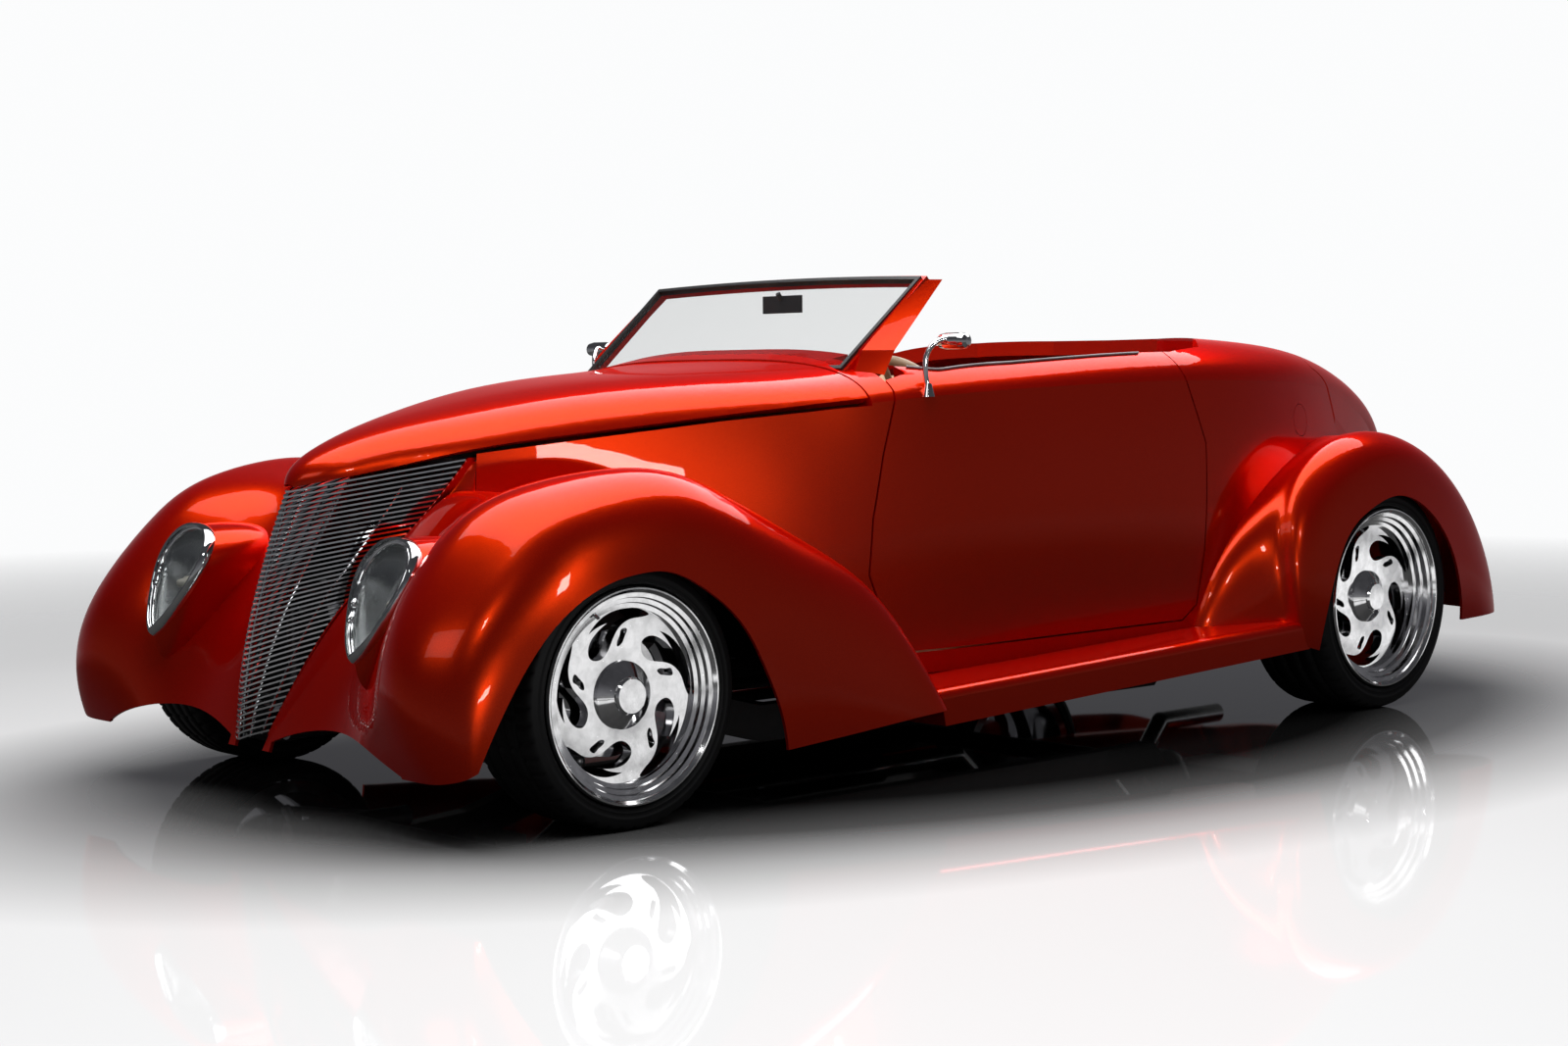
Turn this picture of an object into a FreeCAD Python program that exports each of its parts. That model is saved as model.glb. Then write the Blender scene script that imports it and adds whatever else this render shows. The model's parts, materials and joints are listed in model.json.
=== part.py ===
# A street rod roadster: an open two-seat car on a perimeter frame, with a hinged hood, doors, deck lid
# and filler door, four spinning wheels and coupled front steering. Front is -Y, the car's left is +X.
import FreeCAD, Part
import os
from math import cos, hypot, pi, radians, sin

V = FreeCAD.Vector
os.makedirs("parts", exist_ok=True)

# Driving dimensions, in millimetres
WHEELBASE = 2845.0
FRONT_OVERHANG = 560.0
REAR_OVERHANG = 955.0
FRONT_AXLE_Y = -(FRONT_OVERHANG + WHEELBASE + REAR_OVERHANG) / 2 + FRONT_OVERHANG
REAR_AXLE_Y = FRONT_AXLE_Y + WHEELBASE
BODY_HALF = 700.0
BELT_HEIGHT = 1000.0
FLOOR_Z = 240.0
FENDER_HALF = 892.0
WALL = 45.0
LID = 22.0
SHEET = 8.0
GAP = 5.0
SEAT_GAP = 0.3
OVERRUN = 20.0
SEW_TOLERANCE = 0.01

# Wheels: lip radius and width of each rim, tyre radius and section width, and where the outer lip stands
FRONT_RIM_R = 244.0
REAR_RIM_R = 266.0
FRONT_RIM_W = 226.0
REAR_RIM_W = 276.0
FRONT_TYRE_R = 297.0
REAR_TYRE_R = 330.0
FRONT_TYRE_W = 225.0
REAR_TYRE_W = 275.0
FRONT_TUCK = 59.0
REAR_TUCK = 24.0
FRONT_FACE_X = FENDER_HALF - FRONT_TUCK
REAR_FACE_X = FENDER_HALF - REAR_TUCK


def station(share):
    """Y of a place given as a share of the wheelbase behind the front axle."""
    return FRONT_AXLE_Y + share * WHEELBASE


# Body sections, from the nose to the tail. Each row: where the sill, crease and crown lie along the car, in
# shares of the wheelbase behind the front axle; sill, bulge and crease half-widths in shares of BODY_HALF;
# crease and crown heights in shares of BELT_HEIGHT; and how square the crown is.
BODY_SHARES = [
    (-0.125, -0.125, -0.127, 0.03, 0.00, 0.03, 0.748, 0.757, 2.0),
    (-0.112, -0.112, -0.120, 0.09, 0.00, 0.09, 0.756, 0.790, 2.0),
    (-0.075, -0.075, -0.085, 0.18, 0.00, 0.18, 0.774, 0.850, 2.2),
    (0.000, 0.000, 0.000, 0.34, 0.00, 0.34, 0.820, 0.923, 2.6),
    (0.100, 0.100, 0.100, 0.53, 0.00, 0.53, 0.856, 0.979, 3.0),
    (0.200, 0.200, 0.200, 0.70, 0.01, 0.71, 0.890, 1.009, 3.2),
    (0.300, 0.300, 0.300, 0.86, 0.02, 0.88, 0.922, 1.032, 3.1),
    (0.400, 0.400, 0.400, 0.94, 0.03, 0.975, 0.946, 1.085, 2.9),
    (0.550, 0.550, 0.550, 0.95, 0.04, 1.00, 0.966, 1.110, 3.4),
    (0.720, 0.720, 0.720, 0.95, 0.04, 1.00, 0.977, 1.118, 4.2),
    (0.880, 0.880, 0.880, 0.93, 0.04, 0.965, 0.974, 1.108, 4.6),
    (1.000, 1.000, 1.010, 0.86, 0.04, 0.86, 0.957, 1.086, 4.4),
    (1.095, 1.095, 1.110, 0.76, 0.03, 0.735, 0.918, 1.040, 4.2),
    (1.165, 1.170, 1.200, 0.67, 0.02, 0.63, 0.862, 0.966, 3.8),
    (1.215, 1.230, 1.275, 0.59, 0.02, 0.54, 0.775, 0.852, 3.4),
    (1.240, 1.268, 1.318, 0.54, 0.01, 0.48, 0.640, 0.694, 3.0),
    (1.250, 1.282, 1.335, 0.51, 0.00, 0.45, 0.440, 0.468, 2.8),
    (1.240, 1.270, 1.325, 0.49, 0.00, 0.44, 0.240, 0.240, 2.8),
]
SIDE_SHARES = [0.0, 0.25, 0.5, 0.75, 1.0]
CROWN_ANGLES = [0, 18, 38, 62, 90]
CREASE_TURN = 12.0
# The hood is made of the first HOOD_ROWS sections, and the solid body starts at section BODY_START
HOOD_ROWS = 8
BODY_START = 3

# Gap lines between the panels, as side-view points: shares of the wheelbase and of BELT_HEIGHT
DOOR_SHARES = [
    (0.3536, 1.03), (0.352, 0.960), (0.336, 0.800), (0.325, 0.640), (0.322, 0.500),
    (0.342, 0.360), (0.362, 0.300), (0.745, 0.305), (0.764, 0.345), (0.768, 0.500), (0.7665, 0.800),
    (0.742, 0.960), (0.726, 1.070),
]
DOOR_TOP_SHARES = [(0.726, 1.30), (0.3536, 1.30)]
DOOR_INNER_SHARE = 0.60
COWL_FRONT_SHARE = 0.326
COWL_SIDE_SHARE = 0.285
HOOD_ZONE_SHARES = [
    (0.000, 0.820), (0.050, 0.8385), (0.100, 0.856), (0.200, 0.890), (0.300, 0.917), (0.326, 0.922),
    (0.326, 1.30), (0.000, 1.30),
]
HOOD_LIFT_ANGLE = 5.0
LID_FLOOR_SHARE = 0.79
LID_HALF_SHARES = [(1.016, 0.80), (1.065, 0.79), (1.12, 0.72), (1.21, 0.60), (1.28, 0.50), (1.295, 0.40)]
COCKPIT_HALF_SHARES = [
    (0.372, 0.80), (0.41, 0.895), (0.50, 0.915), (0.74, 0.915), (0.80, 0.87), (0.87, 0.62), (0.91, 0.30),
    (0.918, 0.0),
]
SKIRT_SHARES = [(-0.05, 0.650), (0.10, 0.650), (0.19, 0.570), (0.27, 0.430), (0.318, 0.240)]

# Fenders. Each row of a net is (lip, crown, inner edge), every point in shares of FENDER_HALF, of the
# wheelbase and of BELT_HEIGHT.
FRONT_FENDER_SHARES = [
    ((0.947, -0.153, 0.178), (0.807, -0.172, 0.150), (0.067, -0.168, 0.150)),
    ((0.960, -0.132, 0.300), (0.770, -0.187, 0.308), (0.106, -0.144, 0.300)),
    ((0.966, -0.086, 0.468), (0.725, -0.168, 0.494), (0.157, -0.103, 0.480)),
    ((0.968, -0.039, 0.548), (0.702, -0.122, 0.654), (0.202, -0.067, 0.600)),
    ((0.968, -0.004, 0.570), (0.732, -0.068, 0.749), (0.252, -0.025, 0.722)),
    ((0.968, 0.028, 0.568), (0.782, 0.023, 0.794), (0.270, 0.021, 0.720)),
    ((0.972, 0.069, 0.512), (0.824, 0.105, 0.745), (0.400, 0.105, 0.690)),
    ((0.981, 0.101, 0.429), (0.863, 0.190, 0.620), (0.520, 0.190, 0.610)),
    ((0.985, 0.124, 0.318), (0.914, 0.267, 0.470), (0.630, 0.274, 0.480)),
    ((0.990, 0.138, 0.219), (0.953, 0.313, 0.290), (0.670, 0.313, 0.330)),
    ((0.992, 0.143, 0.141), (0.973, 0.334, 0.180), (0.680, 0.334, 0.200)),
]
REAR_FENDER_SHARES = [
    ((0.973, 0.880, 0.200), (0.953, 0.861, 0.215), (0.745, 0.763, 0.235)),
    ((0.996, 0.891, 0.370), (0.939, 0.844, 0.480), (0.760, 0.784, 0.420)),
    ((1.000, 0.914, 0.510), (0.914, 0.861, 0.650), (0.760, 0.822, 0.560)),
    ((1.000, 0.956, 0.595), (0.897, 0.921, 0.775), (0.740, 0.902, 0.710)),
    ((1.000, 1.009, 0.632), (0.886, 1.008, 0.820), (0.680, 1.016, 0.802)),
    ((1.000, 1.064, 0.582), (0.874, 1.104, 0.755), (0.570, 1.125, 0.760)),
    ((0.996, 1.111, 0.457), (0.852, 1.192, 0.575), (0.450, 1.205, 0.620)),
    ((0.985, 1.135, 0.319), (0.830, 1.244, 0.370), (0.390, 1.240, 0.430)),
    ((0.975, 1.141, 0.235), (0.818, 1.262, 0.240), (0.370, 1.240, 0.260)),
]
FENDER_ANGLES = [0, 28, 58, 90]
FENDER_SLOPES = [0.15, 0.3, 0.45, 0.62, 0.8, 1.0]
FRONT_DROP = 1.5
REAR_DROP = 1.0
APRON_SHARES = [(0.10, 0.172), (0.40, 0.218), (0.72, 0.155)]

# Sheet metal and trim sizes
POST_T = 30.0
POST_FOOT = 50.0
SCREEN_BASE_Y = station(0.3353)
SCREEN_BASE_Z = 1.019 * BELT_HEIGHT
SCREEN_RAKE = 40.4
SCREEN_HALF_LOW = 503.0
SCREEN_HALF_HIGH = 517.0
SCREEN_H = 342.0
SCREEN_ARCH = 16.0
HEADER = 10.0
GASKET = 12.0
POST_CLEAR = 612.0
POST_SHARES = [
    [(0.783, 0.3250, 0.94), (0.860, 0.3420, 0.94), (0.820, 0.3440, 0.94), (0.735, 0.3270, 0.94)],
    [(0.766, 0.3500, 1.062), (0.836, 0.3740, 1.062), (0.795, 0.3760, 1.062), (0.725, 0.3530, 1.062)],
    [(0.757, 0.4268, 1.246), (0.794, 0.4470, 1.246), (0.757, 0.4475, 1.246), (0.719, 0.4300, 1.246)],
]
GASKET_T = 16.0
GLASS_T = 6.0
BOARD_OUT = 860.0
BOARD_IN = 600.0
BOARD_ROUND = 26.0
BAR_T = 4.0
BAR_DEPTH = 12.0
BAR_COUNT = 46
BAR_BOW = 12.0
BAR_PLACES = [-1, -0.75, -0.45, -0.2, -0.07, 0, 0.07, 0.2, 0.45, 0.75, 1]
PROW_ROUND = 0.08
ROD_PLACES = [-0.7, -0.35, 0.0, 0.35, 0.7]
ROD_T = 5.0
ROD_STEPS = 6
SURROUND = 5.0
RADIATOR_SHARES = (0.012, 0.032, 0.24, 0.74)

BOARD_SHARES = [(0.336, 0.138), (0.868, 0.207), (0.860, 0.290), (0.329, 0.230)]

# The grille's prow and rear edge, bottom to top: prow (along, up), edge (across, along, up)
PROW_SHARES = [(-0.1765, 0.165), (-0.1715, 0.337), (-0.1565, 0.515), (-0.1340, 0.694), (-0.1270, 0.742)]
EDGE_SHARES = [
    (0.070, -0.1620, 0.185), (0.112, -0.1357, 0.340), (0.157, -0.1020, 0.490), (0.202, -0.0675, 0.600),
    (0.240, -0.0246, 0.733), (0.262, -0.0035, 0.812),
]

# Panels
COWL_SEAM_SHARE = 0.357
WELL_R = 385.0
WELL_IN = 560.0
FUEL_DOOR_SHARE = (0.955, 0.856)
FUEL_DOOR_R = 47.0
STOP_R = 8.0
STOP_SINK = 0.6
STOP_H = 14.0
STOP_IN = 20.0
STOP_SHARES = [0.35]
DOOR_HINGE_INSET = 49.0
DOOR_HINGE_X = BODY_HALF - DOOR_HINGE_INSET
DOOR_HINGE_Y = station(0.3225)
DOOR_HINGE_SHARES = [0.44, 0.66]
DOOR_SHELF_Z = 0.90 * BELT_HEIGHT
ARM_LOW_R = 30.0
ARM_HIGH_R = 40.0
ARM_H = 24.0
ARM_START = 100.0
ARM_SWEEP = 138.0
ARM_PLAY = 0.6
COCKPIT_FLOOR_SHARE = 0.80
LINE_GAP = 2.0

# Wheels
BEAD_STEP = 16.0
FLANGE_W = 9.0
BARREL_T = 14.0
HUB_R = 76.0
CAP_R = 43.0
CAP_EDGE = 5.0
HUB_RISE = 36.0
DISC_SHARE = 0.80
DISC_T = 26.0
SPINDLE_R = 25.0
RUN_FIT = 0.05
BORE_DEPTH = 60.0
SPOKES = 5
FACE_DEPTHS = (50.0, 72.0)
WHEEL_TURNS = (0.0, -22.0)
STEPS = 3
STEP_SHARE = 0.05
STEP_LENGTH_SHARE = 0.8
STEP_SLOPE_SHARE = 0.2
DISH = 6.0
LIP_ROUND = 7.0
BRAKE_R = 142.0
BRAKE_T = 16.0
BRAKE_GAP = 4.0
# The tyre's section: share of the wall above the lip or below the tread, and share of the half width
TYRE_LOW_SHARES = [(0.12, 0.98), (0.30, 1.0)]
TYRE_HIGH_SHARES = [(0.22, 0.97), (0.06, 0.86), (0.0, 0.70)]
CALIPER_OUT = 166.0
CALIPER_IN = 20.0
CALIPER_W = 26.0
CALIPER_SWEEP = 58.0
CALIPER_START = 250.0

# One window of each fifth of the wheel: from the crescent's thin end round its outer edge, back along the
# spoke, round the head near the hub and up to the spur's tip; then the spur's outer side; then the slot
# in the spoke. Each point is (share of radius, angle in degrees, clockwise from the top).
WINDOW_SHARES = [
    (0.875, -34), (0.935, -22), (0.972, -9), (0.990, 6), (0.990, 19), (0.970, 23), (0.930, 20), (0.862, 7),
    (0.780, -3), (0.660, -12), (0.560, -21), (0.520, -32), (0.560, -42), (0.660, -46), (0.750, -41),
    (0.812, -31), (0.862, -15),
]
SPUR_SHARES = [(0.862, -15), (0.872, -24), (0.875, -34)]
SLOT_SHARES = [(0.76, 1), (0.75, 5), (0.66, 3), (0.575, -2), (0.565, -7), (0.61, -7), (0.69, -3)]

# Running gear
RAIL_W = 50.0
RAIL_X = 400.0
RAIL_H = 90.0
RAIL_SHARES = [
    (-0.125, 0.30), (0.15, 0.25), (0.25, 0.175), (0.80, 0.175), (0.92, 0.50), (1.10, 0.50),
]
# Where cross tubes join the rails
CROSS_SHARES = [(-0.11, 0.30), (0.30, 0.175), (0.76, 0.175), (0.935, 0.50), (1.095, 0.50)]
TUBE_R = 28.0
KINGPIN_INSET = 211.0
KINGPIN_X = FRONT_FACE_X - KINGPIN_INSET
JOINT_RISE = 165.0
BALL_R = 16.0
ARM_R = 13.0
ARM_IN = 330.0
ARM_SPREAD = 150.0
UPRIGHT_W = 30.0
UPRIGHT_HALF = 45.0
AXLE_R = 38.0
DIFF_R = 120.0
SPINDLE_FLANGE = 60.0
ENGINE_SHARES = [(0.065, 0.255), (0.262, 0.255), (0.262, 0.86), (0.065, 0.80)]
ENGINE_HALF = 215.0
ENGINE_MOUNT_SHARE = 0.15

EXHAUST_R = 32.0
EXHAUST_X = 300.0
EXHAUST_SHARES = [
    (0.19, 0.30), (0.25, 0.195), (0.78, 0.195), (0.90, 0.518), (1.04, 0.518), (1.14, 0.190), (1.25, 0.190),
]
TIP_BORE_R = 29.0
MUFFLER_R = 46.0
MUFFLER_SHARES = (0.48, 0.66)
TANK_SHARES = (1.115, 1.20, 0.31, 0.5535)
TANK_HALF = 215.0

# Cabin
FLOOR_T = 6.0
FLOOR_SHARES = [
    (0.285, 0.88), (0.285, 0.50), (0.345, 0.25), (0.770, 0.25), (0.800, 0.56), (1.22, 0.56),
]
DASH_HALF_SHARE = 0.79
DASH_SHARES = [
    (0.345, 1.10), (0.345, 0.78), (0.372, 0.76), (0.397, 0.80), (0.388, 0.96), (0.371, 0.985),
    (0.371, 1.10),
]
SEAT_SHARES = [(0.52, 0.33), (0.52, 0.50), (0.535, 0.555), (0.69, 0.52), (0.70, 0.33)]
BACK_SHARES = [
    (0.705, 0.33), (0.705, 0.60), (0.745, 0.98), (0.775, 1.02), (0.80, 1.00), (0.79, 0.60), (0.785, 0.58),
]
SEAT_SIDE_GAP = 45.0
SEAT_HALF = BODY_HALF - WALL - SEAT_SIDE_GAP
WHEEL_X = 350.0
STEER_Y = station(0.475)
STEER_Z = 0.880 * BELT_HEIGHT
STEER_TILT = 62.0
STEER_R = 180.0
STEER_RIM_R = 13.0
STEER_HUB_R = 38.0
STEER_SPOKE_R = 9.0
STEER_SPOKE_ANGLES = (0, 180, 270)
COLUMN_R = 22.0
COLUMN_L = 330.0
SHIFT_R = 8.0
SHIFT_H = 300.0
KNOB_R = 24.0
BOOT_R = 72.0
BOOT_H = 48.0
SHIFT_SHARE = 0.46

# Lamps, mirrors and small fittings
LAMP_X = 0.495 * FENDER_HALF
LAMP_Y = station(-0.1413)
LAMP_Z = 0.511 * BELT_HEIGHT
LAMP_LEAN = 27.0
LAMP_W = 212.0
LAMP_H = 300.0
LAMP_RING = 12.0
LAMP_PROUD = 24.0
LAMP_SHARES = [
    (0.0, -1.0), (0.30, -0.80), (0.64, -0.42), (0.90, 0.0), (1.0, 0.32), (0.90, 0.68), (0.55, 0.92),
    (0.0, 1.0),
]
# The pod behind a lamp: how far back in shares of LAMP_H, then its width and its upper and lower height
POD_SHARES = [
    (0.0, 1.0, 1.0, 1.0), (0.18, 1.02, 1.02, 1.42), (0.36, 0.97, 1.0, 1.55), (0.55, 0.85, 0.92, 1.5),
]
# Domes of the ring, lens and bowl: how far ahead of the face, and growth, both in shares of LAMP_PROUD
RING_SHARES = [(0.0, 0.0), (0.6, -0.04), (1.0, -0.25)]
LENS_SHARES = [(0.35, 0.0), (0.75, -0.58), (0.9, -1.58)]
BOWL_SHARES = [(0.3, -0.08), (0.0, -0.08), (-0.9, -0.75), (-1.8, -2.08)]
BEZEL_PLAY = 2.0
BOWL_DEPTH = 48.0
MIRROR_R = 21.0
MIRROR_SPAN = 52.0
MIRROR_ARM_R = 7.0
MIRROR_FOOT_R = 17.0
MIRROR_NECK_R = 8.0
CABIN_MIRROR_W = 150.0
CABIN_MIRROR_H = 38.0
MIRROR_ARM_SHARES = [
    (0.965, 0.384, 0.960), (0.955, 0.3825, 1.02), (0.965, 0.3845, 1.06), (0.99, 0.392, 1.085),
    (1.02, 0.403, 1.083),
]
MIRROR_HEAD_SHARES = [(0.0, 1.0), (0.5, 0.96), (0.86, 0.82), (1.0, 0.5)]
CABIN_STEM_SHARES = (0.0, 0.6, -0.8)
TAIL_LAMP_SHARES = (0.80, 1.12, 0.53)
TAIL_LAMP_W = 78.0
TAIL_LAMP_H = 150.0
TAIL_LAMP_T = 15.0
PLATE_W = 305.0
PLATE_H = 152.0
PLATE_T = 3.0
PLATE_HOLE_R = 3.5
PLATE_HOLE_SPAN = 178.0
PLATE_HOLE_DROP = 18.0
PLATE_Z = 0.42 * BELT_HEIGHT
BRACKET_W = 180.0
BRACKET_T = 12.0


# Curves, skins and simple solids
def spline(points, params):
    curve = Part.BSplineCurve()
    curve.interpolate(Points=points, Parameters=params)
    return curve


def chord_params(lines):
    """Mean chord-length parameters, from 0 to 1, of several polylines with equal counts."""
    total = [0.0] * len(lines[0])
    for line in lines:
        lengths = [0.0]
        for a, b in zip(line, line[1:]):
            lengths.append(lengths[-1] + (b - a).Length)
        total = [t + s / lengths[-1] for t, s in zip(total, lengths)]
    return [t / len(lines) for t in total]


def net(rows, us=None, vs=None):
    """A smooth surface through a grid of points; us runs over the rows and vs along each row."""
    vs = vs or chord_params(rows)
    us = us or chord_params([list(column) for column in zip(*rows)])
    along = [spline(row, vs) for row in rows]
    columns = [spline(list(column), us) for column in zip(*[curve.getPoles() for curve in along])]
    poles = [list(row) for row in zip(*[curve.getPoles() for curve in columns])]
    surface = Part.BSplineSurface()
    surface.buildFromPolesMultsKnots(
        poles,
        columns[0].getMultiplicities(),
        along[0].getMultiplicities(),
        columns[0].getKnots(),
        along[0].getKnots(),
        False,
        False,
        columns[0].Degree,
        along[0].Degree,
    )
    return surface, us, vs


def closed(faces):
    """One solid sewn from faces that share their edges."""
    sewn = Part.makeCompound(faces)
    sewn.sewShape(SEW_TOLERANCE)
    solid = Part.Solid(Part.Shell(sewn.Faces))
    if solid.Volume < 0:
        solid.reverse()
    return solid


def edge_at(surface, along_u, value):
    curve = surface.uIso(value) if along_u else surface.vIso(value)
    return curve.toShape()


def thick_skin(rows, thickness, us=None, vs=None, flip=False):
    """A sheet solid: the skin through the grid and its offset, closed by ruled edges."""
    outer, us, vs = net(rows, us, vs)
    sign = -1 if flip else 1
    inner_rows = [
        [p - outer.normal(u, v) * (sign * thickness) for p, v in zip(row, vs)] for row, u in zip(rows, us)
    ]
    inner = net(inner_rows, us, vs)[0]
    faces = [outer.toShape(), inner.toShape()]
    for along_u in (True, False):
        for value in (0.0, 1.0):
            rims = [edge_at(surface, along_u, value) for surface in (outer, inner)]
            faces.append(Part.makeRuledSurface(*rims))
    return closed(faces)


def body_point(shares):
    """A point from shares of BODY_HALF, of the wheelbase and of BELT_HEIGHT."""
    x, y, z = shares
    return V(x * BODY_HALF, station(y), z * BELT_HEIGHT)


def moved(shape, shift):
    copy = shape.copy()
    copy.translate(shift)
    return copy


def mirrored(shape):
    return shape.mirror(V(0, 0, 0), V(1, 0, 0))


def both(shape):
    return Part.makeCompound([shape, mirrored(shape)])


def prism(points, direction):
    """A straight prism of a flat polygon, swept along a vector."""
    return Part.Face(Part.makePolygon(points + points[:1])).extrude(direction)


def box(x0, x1, y0, y1, z0, z1):
    return Part.makeBox(x1 - x0, y1 - y0, z1 - z0, V(x0, y0, z0))


# The body and the outlines that cut it
def side_row(row, low):
    """Left side points from the sill up to the crease."""
    y_sill, y_crease, _, x_sill, bulge, x_crease, z_crease = row[:7]
    points = []
    for t in SIDE_SHARES:
        x = (x_sill + (x_crease - x_sill) * t + bulge * sin(pi * t)) * BODY_HALF
        z = low + (z_crease * BELT_HEIGHT - low) * t
        points.append(V(x, station(y_sill + (y_crease - y_sill) * t), z))
    return points


def crown_row(row, start=0.0):
    """Points from the left crease over the crown to the right crease; start lifts the edge, in degrees."""
    y_crease, y_top, x_crease, z_crease, z_top, square = row[1], row[2], row[5], row[6], row[7], row[8]
    half = []
    power = 2 / square
    first = radians(CREASE_TURN)
    for angle in CROWN_ANGLES:
        a = first + radians(max(angle, start)) * (1 - CREASE_TURN / 90)
        x = x_crease * (cos(a) / cos(first)) ** power if angle < 90 else 0.0
        rise = (sin(a) ** power - sin(first) ** power) / (1 - sin(first) ** power)
        y = y_crease + (y_top - y_crease) * rise
        half.append(V(x * BODY_HALF, station(y), (z_crease + (z_top - z_crease) * rise) * BELT_HEIGHT))
    return half + [V(-p.x, p.y, p.z) for p in reversed(half[:-1])]


def mitre(point, normal_a, normal_b, inset):
    """Where two faces that meet at a point meet again once both are drawn in."""
    return point - (normal_a + normal_b) * (inset / (1 + normal_a.dot(normal_b)))


def body_mass(inset=0.0):
    """The solid form of the body behind its first sections; inset draws its skin in by a wall."""
    rows = BODY_SHARES[BODY_START:]
    sides = [side_row(row, FLOOR_Z) for row in rows]
    crowns = [crown_row(row) for row in rows]
    middle = len(crowns[0]) // 2
    us = chord_params([[row[0] for row in crowns], [row[middle] for row in crowns]])
    side = net(sides, us, SIDE_SHARES)[0]
    crown, _, crown_vs = net(crowns, us)
    if inset:
        for i, u in enumerate(us):
            corner = mitre(sides[i][-1], side.normal(u, 1.0), crown.normal(u, 0.0), inset)
            sides[i] = [p - side.normal(u, v) * inset for p, v in zip(sides[i], SIDE_SHARES)]
            crowns[i] = [p - crown.normal(u, v) * inset for p, v in zip(crowns[i], crown_vs)]
            sides[i][-1] = corner
            crowns[i][0] = corner
            crowns[i][-1] = V(-corner.x, corner.y, corner.z)
            sides[i][0].z = FLOOR_Z - OVERRUN
        start = crowns[0][middle].y - OVERRUN
        for p in sides[0] + crowns[0]:
            p.y = start
        for p in sides[-1] + crowns[-1]:
            p.z = FLOOR_Z - OVERRUN
        side = net(sides, us, SIDE_SHARES)[0]
        crown = net(crowns, us, crown_vs)[0]
    left = side.toShape()
    top = crown.toShape()
    right = mirrored(left)
    sill = edge_at(side, False, 0.0)
    front_side = edge_at(side, True, 0.0)
    front = Part.Wire(
        [
            front_side,
            edge_at(crown, True, 0.0),
            mirrored(front_side),
            Part.makeLine(sides[0][0], V(-sides[0][0].x, sides[0][0].y, sides[0][0].z)),
        ]
    )
    back_side = edge_at(side, True, 1.0)
    bottom = Part.Wire(
        [
            sill,
            back_side,
            edge_at(crown, True, 1.0),
            mirrored(back_side),
            mirrored(sill),
            Part.makeLine(V(-sides[0][0].x, sides[0][0].y, sides[0][0].z), sides[0][0]),
        ]
    )
    return closed([left, top, right, Part.Face(front), Part.Face(bottom)])


def side_polygon(shares, x):
    """A side-view polygon, in shares, at one x."""
    return [V(x, station(y), z * BELT_HEIGHT) for y, z in shares]


def side_prism(shares, x0, x1):
    return prism(side_polygon(shares, x0), V(x1 - x0, 0, 0))


def door_prism(gap=0.0):
    """The door's side-view outline on the left side, grown outwards by a gap."""
    outline = Part.Face(Part.makePolygon(side_polygon(DOOR_SHARES + DOOR_TOP_SHARES + DOOR_SHARES[:1], 0)))
    if gap:
        outline = Part.Face(outline.makeOffset2D(gap).Wires[0])
    shift = BODY_HALF * DOOR_INNER_SHARE
    outline.translate(V(shift, 0, 0))
    return outline.extrude(V(BODY_HALF, 0, 0))


def plan_prism(half_shares, z0, z1, gap=0.0):
    """A prism symmetric about the middle, from half-widths along the car."""
    points = [V(x * BODY_HALF, station(y), z0) for y, x in half_shares]
    points += [V(-p.x, p.y, z0) for p in reversed(points) if p.x > 0]
    face = Part.Face(Part.makePolygon(points + points[:1]))
    if gap:
        face = Part.Face(face.makeOffset2D(gap).Wires[0])
    return face.extrude(V(0, 0, z1 - z0))


def slab(y0, y1, z0, z1):
    """A full-width block between two places along the car and two heights."""
    return box(-2 * BODY_HALF, 2 * BODY_HALF, y0, y1, z0, z1)


# Fenders, hood, nose and windshield
def fender_point(shares):
    x, y, z = shares
    return V(x * FENDER_HALF, station(y), z * BELT_HEIGHT)


def fender_row(row, drop):
    """Points round one fender section: up the side from the lip, over the crown, down to the inner edge."""
    lip, crown, inner = (fender_point(p) for p in row)
    points = []
    for angle in FENDER_ANGLES:
        a = radians(angle)
        across, along = 1 - cos(a), sin(a)
        points.append(
            V(
                lip.x + (crown.x - lip.x) * across,
                lip.y + (crown.y - lip.y) * along,
                lip.z + (crown.z - lip.z) * along,
            )
        )
    for t in FENDER_SLOPES:
        ease = (1 - cos(pi * min(1, t * drop))) / 2
        points.append(
            V(
                crown.x + (inner.x - crown.x) * t,
                crown.y + (inner.y - crown.y) * ease,
                crown.z + (inner.z - crown.z) * ease,
            )
        )
    return points


def fender(table, drop):
    return thick_skin([fender_row(row, drop) for row in table], SHEET)


def apron_arch():
    """What is cut from under the front edge of both front fenders, along an arc."""
    y = station(FRONT_FENDER_SHARES[1][1][1])
    foot, top, end = (V(x * FENDER_HALF, y, z * BELT_HEIGHT) for x, z in APRON_SHARES)
    low = V(0, 0, -BELT_HEIGHT)
    edges = [Part.Arc(foot, top, end).toShape(), Part.makeLine(end, end + low)]
    edges += [Part.makeLine(end + low, foot + low), Part.makeLine(foot + low, foot)]
    return Part.Face(Part.Wire(edges)).extrude(V(0, FRONT_OVERHANG / 2, 0))


def hood():
    """The hinged hood: the crown of the nose, lifted clear of the crease."""
    rows = [crown_row(row, HOOD_LIFT_ANGLE) for row in BODY_SHARES[:HOOD_ROWS]]
    skin = thick_skin(rows, LID)
    return skin.cut(slab(station(COWL_FRONT_SHARE) - GAP, 0, 0, 2 * BELT_HEIGHT))


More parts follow.
